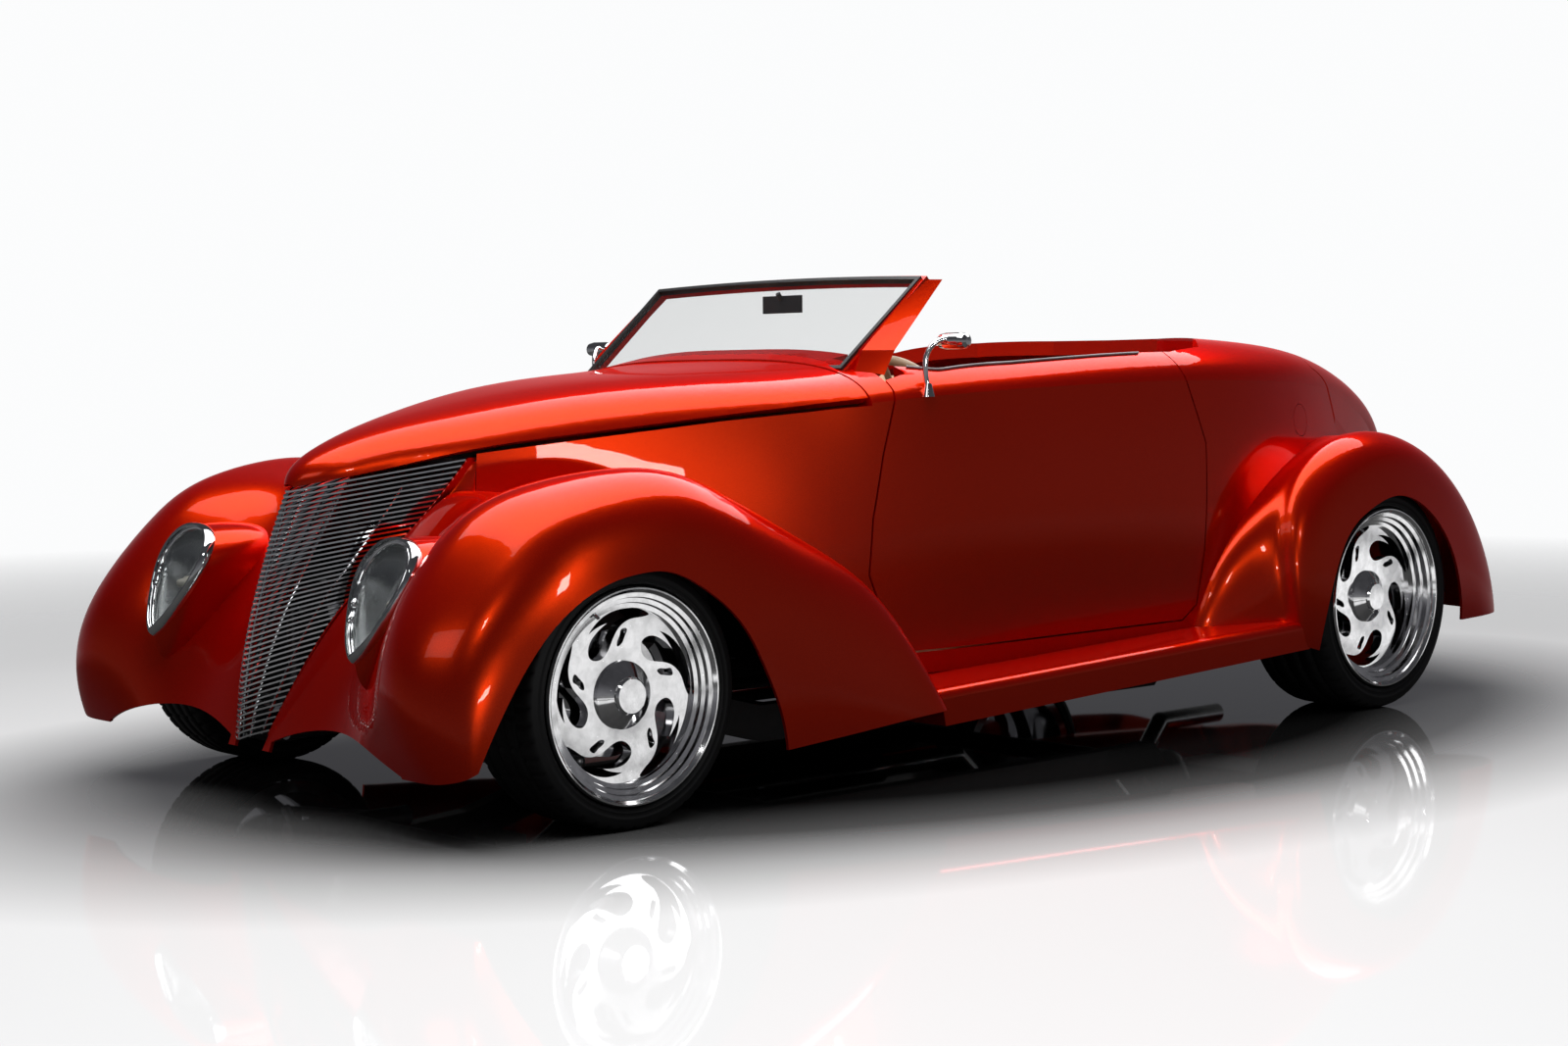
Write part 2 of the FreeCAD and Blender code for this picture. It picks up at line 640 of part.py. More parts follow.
def nose_side():
    """The panel under the hood's edge, from the grille back to the cowl."""
    keep = box(0, BODY_HALF, station(0), station(COWL_SIDE_SHARE), FLOOR_Z, BELT_HEIGHT)
    away = side_prism(SKIRT_SHARES + [(SKIRT_SHARES[-1][0], 0), (SKIRT_SHARES[0][0], 0)], 0, BODY_HALF)
    above = side_prism(HOOD_ZONE_SHARES, 0, BODY_HALF)
    return sheet_skin.common(keep).cut([away, above, grille_shell()])


def lid_stops(lid, edge_y, toward):
    """Rubber stops on brackets from the rim of an opening, just under the closed lid's middle edge."""
    stops = []
    for share in STOP_SHARES:
        x, y = share * BODY_HALF, edge_y - toward * STOP_IN
        heights = []
        for dx, dy in ((-STOP_R, 0), (STOP_R, 0), (0, -STOP_R), (0, STOP_R)):
            line = Part.makeLine(V(x + dx, y + dy, BELT_HEIGHT / 2), V(x + dx, y + dy, 2 * BELT_HEIGHT))
            heights += [vertex.Point.z for vertex in lid.common(line).Vertexes]
        foot = V(x, y, min(heights) - STOP_SINK - STOP_H)
        reach = STOP_IN + GAP - SEAT_GAP
        bracket = Part.makeCylinder(STOP_R / 2, reach, foot + V(0, 0, STOP_H / 2), V(0, toward, 0))
        stops.append(Part.makeCylinder(STOP_R, STOP_H, foot).fuse(bracket))
    return stops + [mirrored(stop) for stop in stops]


def screen_point(x, w, n):
    """A point in the windshield's own plane: across, up the glass, and out from its face."""
    a = radians(SCREEN_RAKE)
    return V(x, SCREEN_BASE_Y + w * cos(a) - n * sin(a), SCREEN_BASE_Z + w * sin(a) + n * cos(a))


def screen_prism(low, high, base, top, arch, n0, n1):
    """A plate in the windshield's plane with straight sides and an arched top edge."""
    left_low = screen_point(low, base, n0)
    right_low = screen_point(-low, base, n0)
    left_top = screen_point(high, top, n0)
    right_top = screen_point(-high, top, n0)
    wire = Part.Wire(
        [
            Part.makeLine(right_low, left_low),
            Part.makeLine(left_low, left_top),
            Part.Arc(left_top, screen_point(0, top + arch, n0), right_top).toShape(),
            Part.makeLine(right_top, right_low),
        ]
    )
    return Part.Face(wire).extrude(screen_point(0, 0, n1) - screen_point(0, 0, n0))


def screen_glass(edge, half):
    """The glass plate grown by an edge and half a thickness each way from its plane."""
    low, high, top = SCREEN_HALF_LOW + edge, SCREEN_HALF_HIGH + edge, SCREEN_H + edge
    return screen_prism(low, high, -edge, top, SCREEN_ARCH, -half, half)


def screen_plate():
    return screen_glass(0, GLASS_T / 2).cut(outer_mass)


def screen_post():
    """A fin that leans back from the cowl and narrows upwards."""
    wires = [Part.makePolygon([body_point(p) for p in level + level[:1]]) for level in POST_SHARES]
    return Part.makeLoft(wires, True, True)


def screen_frame():
    """The rail round the gasket, and a post behind each of its sides."""
    edge = GASKET + HEADER
    low, high, top = SCREEN_HALF_LOW + edge, SCREEN_HALF_HIGH + edge, SCREEN_H + edge
    rail = screen_prism(low, high, -POST_FOOT, top, SCREEN_ARCH, -POST_T, 0)
    posts = [screen_post(), mirrored(screen_post())]
    return rail.fuse(posts).cut([screen_glass(GASKET, 2 * POST_T), outer_mass])


def screen_gasket():
    return screen_glass(GASKET, GASKET_T / 2).cut(screen_glass(0, GASKET_T)).cut(outer_mass)


# Running boards, grille and radiator
def running_board():
    """A step plate with a rolled outer edge, between the fenders."""
    plank = side_prism(BOARD_SHARES, BOARD_IN, BOARD_OUT)
    outer = [edge for edge in plank.Edges if edge.BoundBox.XMin > BOARD_OUT - SHEET]
    rolled = [edge for edge in outer if edge.Length > WHEELBASE / 4]
    top = max(rolled, key=lambda edge: edge.BoundBox.ZMax)
    return plank.makeFillet(BOARD_ROUND, [top]).cut([outer_mass, left_front_fender, left_rear_fender])


def grille_lines():
    prow = [V(0, station(y), z * BELT_HEIGHT) for y, z in PROW_SHARES]
    edge = [fender_point(p) for p in EDGE_SHARES]
    return spline(prow, chord_params([prow])), spline(edge, chord_params([edge]))


def bar_point(front, back, place, trim=0.0):
    """A point of a bar that runs from one rear edge round the prow to the other; place is -1 to 1."""
    share = abs(place)
    bend = (hypot(share, PROW_ROUND) - PROW_ROUND) / (hypot(1, PROW_ROUND) - PROW_ROUND)
    x = place * (back.x - trim)
    y = front.y + (back.y - front.y) * bend - BAR_BOW * sin(pi * share)
    return V(x, y, front.z + (back.z - front.z) * bend)


def ribbon(curve, depth, thickness):
    """A strip that follows a curve, deepened along the car and thickened along a vector."""
    edge = curve.toShape()
    return Part.makeRuledSurface(edge, moved(edge, V(0, depth, 0))).extrude(thickness)


def grille():
    """Level bars that wrap round the prow, on upright rods just behind them."""
    prow, edge = grille_lines()
    steps = [(i + 0.5) / BAR_COUNT for i in range(BAR_COUNT)]
    ends = [(prow.value(t), edge.value(t)) for t in steps]
    parts = []
    for front, back in ends:
        points = [bar_point(front, back, place, SURROUND + SEAT_GAP) for place in BAR_PLACES]
        parts.append(ribbon(spline(points, chord_params([points])), BAR_DEPTH, V(0, 0, BAR_T)))
    behind = V(-ROD_T / 2, BAR_DEPTH + SEAT_GAP, 0)
    knots = ends[:: BAR_COUNT // ROD_STEPS]
    for place in ROD_PLACES:
        points = [bar_point(front, back, place) + behind for front, back in knots]
        parts.append(ribbon(spline(points, chord_params([points])), ROD_T, V(ROD_T, 0, 0)))
    return Part.makeCompound(parts)


def grille_shell():
    """The painted rear edge strips that the bars end against."""
    edge = grille_lines()[1]
    rim = ribbon(edge, 2 * BAR_DEPTH, V(-SURROUND, 0, 0))
    return both(rim)


def radiator():
    y0, y1, z0, z1 = RADIATOR_SHARES
    core = box(-BODY_HALF, BODY_HALF, station(y0), station(y1), z0 * BELT_HEIGHT, z1 * BELT_HEIGHT)
    return core.common(body_mass(SHEET + SEAT_GAP))


# Tub, doors and lids
def wheel_well(grow=0.0):
    """The inner drum over a rear wheel: the space it keeps clear, or that space grown by its sheet."""
    radius = WELL_R + grow
    inner = WELL_IN - grow
    return Part.makeCylinder(radius, FENDER_HALF - inner, V(inner, REAR_AXLE_Y, REAR_TYRE_R), V(1, 0, 0))


def wheel_house():
    shell = wheel_well(SHEET).cut(wheel_well())
    low = slab(REAR_AXLE_Y - 2 * WELL_R, REAR_AXLE_Y + 2 * WELL_R, -BELT_HEIGHT, REAR_TYRE_R + 2 * AXLE_R)
    lid_zone = plan_prism(LID_HALF_SHARES, LID_FLOOR_SHARE * BELT_HEIGHT - GAP, BELT_HEIGHT, GAP)
    return shell.cut(low).common(outer_mass).cut(lid_zone)


def tub_blank():
    """The body's walls without the doors, wheel wells, cockpit and deck openings."""
    lid_gap = plan_prism(LID_HALF_SHARES, LID_FLOOR_SHARE * BELT_HEIGHT - GAP, 2 * BELT_HEIGHT, GAP)
    tools = [lid_gap, cockpit_prism()]
    slots = [door_arm(z, ARM_PLAY) for z in DOOR_HINGE_SHARES]
    for tool in [door_prism(GAP), wheel_well(SHEET)] + slots:
        tools += [tool, mirrored(tool)]
    return wall_skin.cut(tools)


def cowl():
    front = slab(station(COWL_SIDE_SHARE), station(COWL_SEAM_SHARE), -BELT_HEIGHT, 2 * BELT_HEIGHT)
    under_hood = side_prism(HOOD_ZONE_SHARES, -BODY_HALF, BODY_HALF)
    return tub.common(front).cut(under_hood)


def fuel_drum(radius):
    y, z = FUEL_DOOR_SHARE
    return Part.makeCylinder(radius, BODY_HALF, V(BODY_HALF / 2, station(y), z * BELT_HEIGHT), V(1, 0, 0))


def rear_tub():
    back = slab(station(COWL_SEAM_SHARE), 2 * WHEELBASE, -BELT_HEIGHT, 2 * BELT_HEIGHT)
    pocket = outer_mass.cut(body_mass(LID)).common(fuel_drum(FUEL_DOOR_R + LINE_GAP))
    return tub.common(back).cut(pocket)


def fuel_door():
    return sheet_skin.common(fuel_drum(FUEL_DOOR_R))


def deck_lid():
    return lid_skin.common(plan_prism(LID_HALF_SHARES, LID_FLOOR_SHARE * BELT_HEIGHT, 2 * BELT_HEIGHT))


def cockpit_prism():
    return plan_prism(COCKPIT_HALF_SHARES, COCKPIT_FLOOR_SHARE * BELT_HEIGHT, 2 * BELT_HEIGHT)


def door_arm(z_share, play=0.0):
    """A curved hinge strap round the door's hinge axis, or the slot that takes it with some play."""
    foot = V(DOOR_HINGE_X, DOOR_HINGE_Y, z_share * BELT_HEIGHT - play)
    high = Part.makeCylinder(ARM_HIGH_R + play, ARM_H + 2 * play, foot, V(0, 0, 1), ARM_SWEEP + 2 * play)
    low = Part.makeCylinder(ARM_LOW_R - play, ARM_H + 2 * play, foot)
    strap = high.cut(low)
    strap.rotate(foot, V(0, 0, 1), ARM_START - play)
    return strap


def door():
    panel = wall_skin.common(door_prism()).cut(cockpit_prism())
    shelf_end = station(POST_SHARES[1][2][1]) + GAP
    shelf = box(0, POST_CLEAR, station(0), shelf_end, DOOR_SHELF_Z, 2 * BELT_HEIGHT)
    return panel.cut(shelf).fuse([door_arm(z) for z in DOOR_HINGE_SHARES])


# Wheels and brakes
def turned(profile, sweep=360.0):
    """A solid of revolution about X from (radius, x) points."""
    points = [V(x, 0, r) for r, x in profile]
    face = Part.Face(Part.makePolygon(points + points[:1]))
    return face.revolve(V(0, 0, 0), V(1, 0, 0), sweep)


def window_points(radius, shares, turn):
    """Points of a window outline, from shares of the window radius and angles in degrees."""
    return [
        V(0, radius * share * sin(radians(angle + turn)), radius * share * cos(radians(angle + turn)))
        for share, angle in shares
    ]


def window_tool(wires, length):
    face = Part.Face(Part.Wire(wires))
    return moved(face, V(-length, 0, 0)).extrude(V(2 * length, 0, 0))


def window(radius, turn, length):
    """A swept window with a round head and a pointed spur."""
    outlines = [window_points(radius, shares, turn) for shares in (WINDOW_SHARES, SPUR_SHARES)]
    return window_tool([spline(points, chord_params([points])).toShape() for points in outlines], length)


def slot(radius, turn, length):
    curve = Part.BSplineCurve()
    curve.interpolate(Points=window_points(radius, SLOT_SHARES, turn), PeriodicFlag=True)
    return window_tool([curve.toShape()], length)


def rim(lip, width, depth, first_turn):
    """A wheel with its outer lip at x = 0 and its barrel towards -X: barrel, stepped lip, spoked disc, hub
    and brake disc."""
    seat = lip - BEAD_STEP
    inner = seat - BARREL_T
    disc = lip * DISC_SHARE
    inboard = -depth - BORE_DEPTH
    section = [
        (lip, -LIP_ROUND), (lip, -FLANGE_W), (seat, -FLANGE_W), (seat, FLANGE_W - width),
        (lip, FLANGE_W - width), (lip, -width), (inner, -width), (inner, -depth - DISC_T),
        (HUB_R, -depth - DISC_T), (HUB_R, inboard + BRAKE_T), (BRAKE_R, inboard + BRAKE_T),
        (BRAKE_R, inboard),
        (SPINDLE_R + RUN_FIT, inboard), (SPINDLE_R + RUN_FIT, -depth), (0, -depth), (0, HUB_RISE - depth),
        (CAP_R - CAP_EDGE, HUB_RISE - depth), (CAP_R, HUB_RISE - depth - CAP_EDGE),
        (CAP_R, HUB_RISE - depth - 2 * CAP_EDGE), (HUB_R, DISH - depth), (HUB_R, -depth),
        (disc, DISH - depth),
    ]
    rise = (depth - DISH) / (STEPS + 1)
    for step in range(STEPS):
        r = disc + step * STEP_SHARE * lip
        x = DISH - depth + (step + 1) * rise
        section += [(r, x), (r + STEP_SHARE * lip * STEP_LENGTH_SHARE, x + rise * STEP_SLOPE_SHARE)]
    section += [(lip - 2 * LIP_ROUND, -LIP_ROUND), (lip - LIP_ROUND, 0), (lip - LIP_ROUND / 2, 0)]
    wheel = turned(section)
    tools = []
    for i in range(SPOKES):
        turn = first_turn + 360.0 * i / SPOKES
        tools.append(window(disc, turn, depth + DISC_T + GAP))
        tools.append(slot(disc, turn, depth + DISC_T + GAP))
    return wheel.cut(tools)


def caliper(face_x, depth):
    """A brake caliper as a turned sector round the wheel's axis, just inboard of the brake disc."""
    disc_back = face_x - depth - BORE_DEPTH
    back = disc_back - BRAKE_GAP - CALIPER_W
    front = disc_back + BRAKE_T
    bridge = BRAKE_R + BRAKE_GAP
    profile = [
        (CALIPER_IN, back), (CALIPER_OUT, back), (CALIPER_OUT, front), (bridge, front),
        (bridge, disc_back - BRAKE_GAP), (CALIPER_IN, disc_back - BRAKE_GAP),
    ]
    sector = turned(profile, CALIPER_SWEEP)
    sector.rotate(V(0, 0, 0), V(1, 0, 0), CALIPER_START)
    return sector


def tyre(lip, width, radius, section):
    """A tyre seated on a rim whose outer lip is at x = 0, as (radius, x) points round its section."""
    seat = lip - BEAD_STEP + SEAT_GAP
    middle = -width / 2
    half = section / 2
    bead = width / 2 - FLANGE_W - SEAT_GAP
    wall = radius - seat
    half_section = [(seat, bead), (lip + SEAT_GAP, bead)]
    half_section += [(lip + wall * rise, half * across) for rise, across in TYRE_LOW_SHARES]
    half_section += [(radius - wall * drop, half * across) for drop, across in TYRE_HIGH_SHARES]
    points = [(r, middle + x) for r, x in half_section]
    points += [(r, middle - x) for r, x in reversed(half_section)]
    return turned(points)


def at_wheel(shape, face_x, axle_y, radius):
    return moved(shape, V(face_x, axle_y, radius))


# Frame, axles, exhaust and tank
def tube(points, radius):
    """A round tube through points, as cylinders with a ball at each bend."""
    parts = []
    for a, b in zip(points, points[1:]):
        parts.append(Part.makeCylinder(radius, (b - a).Length, a, b - a))
    for p in points[1:-1]:
        parts.append(Part.makeSphere(radius, p))
    return parts[0].fuse(parts[1:]) if len(parts) > 1 else parts[0]


def frame_rail():
    """The left rail, a bent box section."""
    high = side_polygon(RAIL_SHARES, RAIL_X)
    low = [V(p.x, p.y, p.z - RAIL_H) for p in reversed(high)]
    return prism(high + low, V(RAIL_W, 0, 0))


def chassis():
    rail = frame_rail()
    parts = [mirrored(rail)]
    for y, z in CROSS_SHARES:
        start = V(-RAIL_X - RAIL_W / 2, station(y), z * BELT_HEIGHT - RAIL_H / 2)
        parts.append(Part.makeCylinder(TUBE_R, 2 * RAIL_X + RAIL_W, start, V(1, 0, 0)))
    return rail.fuse(parts)


def engine():
    return side_prism(ENGINE_SHARES, -ENGINE_HALF, ENGINE_HALF)


def engine_mounts():
    """Two blocks that carry the engine on the rails."""
    y, z = station(ENGINE_MOUNT_SHARE), ENGINE_SHARES[0][1] * BELT_HEIGHT
    mount = box(ENGINE_HALF, RAIL_X, y - RAIL_W, y + RAIL_W, z - RAIL_W, z)
    return Part.makeCompound([mount, mirrored(mount)])


def front_suspension():
    """Upper and lower arms and a cross tube, as one welded piece each side of the middle."""
    parts = []
    for rise in (-JOINT_RISE, JOINT_RISE):
        z = FRONT_TYRE_R + rise
        ball = V(KINGPIN_X, FRONT_AXLE_Y, z)
        parts.append(Part.makeSphere(BALL_R, ball))
        for spread in (-ARM_SPREAD, ARM_SPREAD):
            inner = V(ARM_IN, FRONT_AXLE_Y + spread, z)
            parts.append(Part.makeCylinder(ARM_R, (ball - inner).Length, inner, ball - inner))
            foot = V(inner.x, inner.y, FRONT_TYRE_R - JOINT_RISE)
            parts.append(Part.makeCylinder(ARM_R, 2 * JOINT_RISE, foot))
        reach = 2 * (ARM_SPREAD + TUBE_R)
        start = V(ARM_IN, FRONT_AXLE_Y - reach / 2, z)
        parts.append(Part.makeCylinder(TUBE_R, reach, start, V(0, 1, 0)))
    side = parts[0].fuse(parts[1:])
    cross_z = FRONT_TYRE_R - JOINT_RISE
    cross = Part.makeCylinder(TUBE_R, 2 * ARM_IN, V(-ARM_IN, FRONT_AXLE_Y, cross_z), V(1, 0, 0))
    return side.fuse([mirrored(side), cross])


def knuckle():
    """The left upright: a bar between the ball joints, the spindle and the brake caliper's bracket."""
    centre = V(KINGPIN_X, FRONT_AXLE_Y, FRONT_TYRE_R)
    half = JOINT_RISE - BALL_R - SEAT_GAP
    y0, y1 = centre.y - UPRIGHT_HALF, centre.y + UPRIGHT_HALF
    upright = box(centre.x, centre.x + UPRIGHT_W, y0, y1, centre.z - half, centre.z + half)
    reach = FRONT_FACE_X - FACE_DEPTHS[0] - centre.x - SEAT_GAP
    spindle = Part.makeCylinder(SPINDLE_R, reach, centre, V(1, 0, 0))
    face = V(centre.x + UPRIGHT_W / 2, centre.y, centre.z)
    collar = Part.makeCylinder(SPINDLE_FLANGE, UPRIGHT_W, face, V(1, 0, 0))
    brake = moved(caliper(FRONT_FACE_X, FACE_DEPTHS[0]), V(0, centre.y, centre.z))
    return upright.fuse([spindle, collar, brake])


def rear_axle():
    centre = V(0, REAR_AXLE_Y, REAR_TYRE_R)
    reach = REAR_FACE_X - FACE_DEPTHS[1] - SEAT_GAP
    half = REAR_FACE_X - REAR_RIM_W - OVERRUN
    profile = [(0, -reach), (SPINDLE_R, -reach), (SPINDLE_R, -half), (AXLE_R, -half)]
    profile += [(AXLE_R, -DIFF_R), (DIFF_R, -DIFF_R / 3)]
    profile += [(r, -x) for r, x in reversed(profile)]
    housing = moved(turned(profile), centre)
    springs = []
    rail_z = RAIL_SHARES[-1][1] * BELT_HEIGHT - RAIL_H
    for side in (-1, 1):
        foot = V(side * (RAIL_X + RAIL_W / 2), centre.y, centre.z)
        springs.append(Part.makeCylinder(AXLE_R, rail_z - centre.z, foot))
    brake = moved(caliper(REAR_FACE_X, FACE_DEPTHS[1]), centre)
    return housing.fuse(springs + [brake, mirrored(brake)])


def exhaust():
    points = [V(EXHAUST_X, station(y), z * BELT_HEIGHT) for y, z in EXHAUST_SHARES]
    pipe = tube(points, EXHAUST_R)
    y0, y1 = (station(share) for share in MUFFLER_SHARES)
    muffler = Part.makeCylinder(MUFFLER_R, y1 - y0, V(EXHAUST_X, y0, points[1].z), V(0, 1, 0))
    bore = Part.makeCylinder(TIP_BORE_R, 2 * MUFFLER_R, points[-1] - V(0, MUFFLER_R, 0), V(0, 1, 0))
    side = pipe.fuse(muffler).cut(bore)
    return Part.makeCompound([side, mirrored(side)])


def fuel_tank():
    y0, y1, z0, z1 = TANK_SHARES
    return box(-TANK_HALF, TANK_HALF, station(y0), station(y1), z0 * BELT_HEIGHT, z1 * BELT_HEIGHT)


# Inside the cabin
def floor_pan():
    high = side_polygon(FLOOR_SHARES, -BODY_HALF)
    low = [V(p.x, p.y + (FLOOR_T if p.y > 0 else -FLOOR_T), p.z - FLOOR_T) for p in reversed(high)]
    pan = prism(high + low, V(2 * BODY_HALF, 0, 0))
    return pan.common(cabin).cut([wheel_well(SHEET), mirrored(wheel_well(SHEET))])


def dashboard():
    half = BODY_HALF * DASH_HALF_SHARE
    return side_prism(DASH_SHARES, -half, half).common(cabin)


def seat_cushion():
    return side_prism(SEAT_SHARES, -SEAT_HALF, SEAT_HALF)


def seat_back():
    return side_prism(BACK_SHARES, -SEAT_HALF, SEAT_HALF)


def steer_axis():
    a = radians(STEER_TILT)
    return V(0, sin(a), cos(a))


def steering_wheel():
    """Rim, hub and three spokes, made flat about Z and then tipped to the column."""
    ring = Part.makeTorus(STEER_R, STEER_RIM_R)
    hub = Part.makeCylinder(STEER_HUB_R, 2 * STEER_RIM_R, V(0, 0, -2 * STEER_RIM_R))
    spokes = []
    for angle in STEER_SPOKE_ANGLES:
        out = V(cos(radians(angle)), sin(radians(angle)), 0)
        spokes.append(Part.makeCylinder(STEER_SPOKE_R, STEER_R, V(0, 0, -STEER_RIM_R), out))
    wheel = ring.fuse([hub] + spokes)
    wheel.rotate(V(0, 0, 0), V(1, 0, 0), -STEER_TILT)
    return moved(wheel, V(WHEEL_X, STEER_Y, STEER_Z))


def steering_column():
    top = V(WHEEL_X, STEER_Y, STEER_Z) - steer_axis() * (2 * STEER_RIM_R + SEAT_GAP)
    return Part.makeCylinder(COLUMN_R, COLUMN_L, top, steer_axis() * -1).cut(dash)


def shifter():
    foot = V(0, station(SHIFT_SHARE), FLOOR_SHARES[2][1] * BELT_HEIGHT)
    stick = Part.makeCylinder(SHIFT_R, SHIFT_H, foot)
    boot = Part.makeCone(BOOT_R, KNOB_R, BOOT_H, foot)
    return stick.fuse([boot, Part.makeSphere(KNOB_R, V(foot.x, foot.y, foot.z + SHIFT_H))])


# Lamps, number plate and mirrors
def lamp_outline(depth, grow=0.0, across=1.0, top=1.0, tip=1.0):
    """A teardrop with its point at the bottom, drawn at a depth behind the lamp's face."""
    points = []
    for x, z in LAMP_SHARES:
        tall = top if z > 0 else tip
        points.append(V(x * (LAMP_W / 2 * across + grow), depth, z * (LAMP_H / 2 * tall + grow)))
    points += [V(-p.x, p.y, p.z) for p in reversed(points[:-1])]
    return Part.Wire(spline(points, chord_params([points])).toShape())


def lamp_place(shape, lean=LAMP_LEAN):
    shape.rotate(V(0, 0, 0), V(1, 0, 0), -lean)
    return moved(shape, V(LAMP_X, LAMP_Y, LAMP_Z))


def lamp_loft(shares, grow):
    """A domed solid through outlines, ahead of the face or behind it."""
    wires = [lamp_outline(-ahead * LAMP_PROUD, grow + more * LAMP_PROUD) for ahead, more in shares]
    return lamp_place(Part.makeLoft(wires, True))


def lamp_prism(grow, front, back):
    return lamp_place(Part.Face(lamp_outline(front, grow)).extrude(V(0, back - front, 0)))


def lamp_pod():
    """The pod's outer form: leaning teardrops set one behind the other along the car, with a keel."""
    wires = []
    for depth, across, top, tip in POD_SHARES:
        wire = lamp_place(lamp_outline(0, 0, across, top, tip))
        wires.append(moved(wire, V(0, depth * LAMP_H, 0)))
    return Part.makeLoft(wires, True)


def lamp_bucket():
    return pod.cut(lamp_prism(-LAMP_RING, -LAMP_PROUD, BOWL_DEPTH))


def lamp_bezel():
    """A domed ring ahead of the pod's face."""
    return lamp_loft(RING_SHARES, 0).cut(lamp_prism(-LAMP_RING, -LAMP_H, LAMP_PROUD))


def lamp_lens():
    return lamp_loft(LENS_SHARES, -LAMP_RING - SEAT_GAP)


def lamp_reflector():
    """The bowl behind the lens."""
    block = lamp_prism(-LAMP_RING - SEAT_GAP, -BOWL_SHARES[0][0] * LAMP_PROUD, BOWL_DEPTH - SEAT_GAP)
    return block.cut(lamp_loft(BOWL_SHARES, -LAMP_RING))


def front_fender():
    skin = fender(FRONT_FENDER_SHARES, FRONT_DROP)
    return skin.cut([outer_mass, pod, lamp_prism(BEZEL_PLAY, -LAMP_H, 0), apron_arch(), grille_shell()])


def rear_fender():
    return fender(REAR_FENDER_SHARES, REAR_DROP).cut(outer_mass)


def tail_lamp():
    """A teardrop lens that follows the back of the rear fender."""
    rows = [fender_row(row, REAR_DROP) for row in REAR_FENDER_SHARES]
    raised = thick_skin(rows, TAIL_LAMP_T, flip=True)
    outline = Part.Ellipse(V(0, 0, 0), TAIL_LAMP_H / 2, TAIL_LAMP_W / 2).toShape()
    outline.rotate(V(0, 0, 0), V(0, 1, 0), -90)
    outline.rotate(V(0, 0, 0), V(0, 0, 1), 90)
    face = Part.Face(Part.Wire(outline))
    beam = moved(face, fender_point(TAIL_LAMP_SHARES)).extrude(V(0, WHEELBASE / 4, 0))
    return raised.common(beam)


def tail_y(z):
    line = Part.makeLine(V(0, REAR_AXLE_Y, z), V(0, REAR_AXLE_Y + WHEELBASE, z))
    return outer_mass.common(line).BoundBox.YMax


def number_plate():
    """A blank plate with two holes, on a block that stands on the tail."""
    y = max(tail_y(PLATE_Z), tail_y(PLATE_Z + PLATE_H / 2), tail_y(PLATE_Z - PLATE_H / 2)) + GAP
    plate = box(-PLATE_W / 2, PLATE_W / 2, y, y + PLATE_T, PLATE_Z - PLATE_H / 2, PLATE_Z + PLATE_H / 2)
    holes = []
    for side in (-1, 1):
        foot = V(side * PLATE_HOLE_SPAN / 2, y - GAP, PLATE_Z + PLATE_H / 2 - PLATE_HOLE_DROP)
        holes.append(Part.makeCylinder(PLATE_HOLE_R, PLATE_T + 2 * GAP, foot, V(0, 1, 0)))
    z = PLATE_Z - BRACKET_T
    bracket = box(-BRACKET_W / 2, BRACKET_W / 2, y - WALL, y, z - BRACKET_T, z + BRACKET_T).cut(outer_mass)
    return plate.cut(holes).fuse(bracket)


def mirror():
    """A long round-ended head on a swan-neck arm, standing on the shoulder of the door."""
    points = [body_point(p) for p in MIRROR_ARM_SHARES]
    path = spline(points, chord_params([points]))
    ring = Part.Wire(Part.makeCircle(MIRROR_ARM_R, points[0], path.tangent(0)[0]))
    arm = Part.Wire(path.toShape()).makePipeShell([ring], True, True)
    half = [(MIRROR_R * r, MIRROR_SPAN * x) for r, x in MIRROR_HEAD_SHARES]
    head = moved(turned(half + [(r, -x) for r, x in reversed(half)]), points[-1])
    foot = points[0] - V(0, 0, MIRROR_FOOT_R)
    base = Part.makeCone(MIRROR_FOOT_R, MIRROR_NECK_R, 2 * MIRROR_FOOT_R, foot)
    return arm.fuse([head, base]).cut(outer_mass)


def cabin_mirror():
    top = screen_point(0, SCREEN_H - 2 * HEADER, -GLASS_T / 2)
    away = V(*CABIN_STEM_SHARES)
    stem = Part.makeCylinder(MIRROR_ARM_R, 2 * HEADER, top, away)
    end = top + away * (2 * HEADER)
    half = CABIN_MIRROR_W / 2
    head = box(end.x - half, end.x + half, end.y, end.y + HEADER, end.z - CABIN_MIRROR_H, end.z + HEADER)
    return stem.fuse(head).cut(screen_glass(0, GLASS_T / 2))


# Shapes that several pieces share
outer_mass = body_mass()
cabin = body_mass(WALL)
wall_skin = outer_mass.cut(cabin)
lid_skin = outer_mass.cut(body_mass(LID))
sheet_skin = outer_mass.cut(body_mass(SHEET))
pod = lamp_pod()
bonnet = hood()
trunk_lid = deck_lid()
tub = tub_blank()
dash = dashboard()
left_door = door()
left_front_fender = front_fender()
left_rear_fender = rear_fender()
front_rim = rim(FRONT_RIM_R, FRONT_RIM_W, FACE_DEPTHS[0], WHEEL_TURNS[0])
rear_rim = rim(REAR_RIM_R, REAR_RIM_W, FACE_DEPTHS[1], WHEEL_TURNS[1])
front_tyre = tyre(FRONT_RIM_R, FRONT_RIM_W, FRONT_TYRE_R, FRONT_TYRE_W)
rear_tyre = tyre(REAR_RIM_R, REAR_RIM_W, REAR_TYRE_R, REAR_TYRE_W)
hood_stops = lid_stops(bonnet, station(COWL_FRONT_SHARE) - GAP, 1)
deck_stops = lid_stops(trunk_lid, station(LID_HALF_SHARES[0][0]), -1)

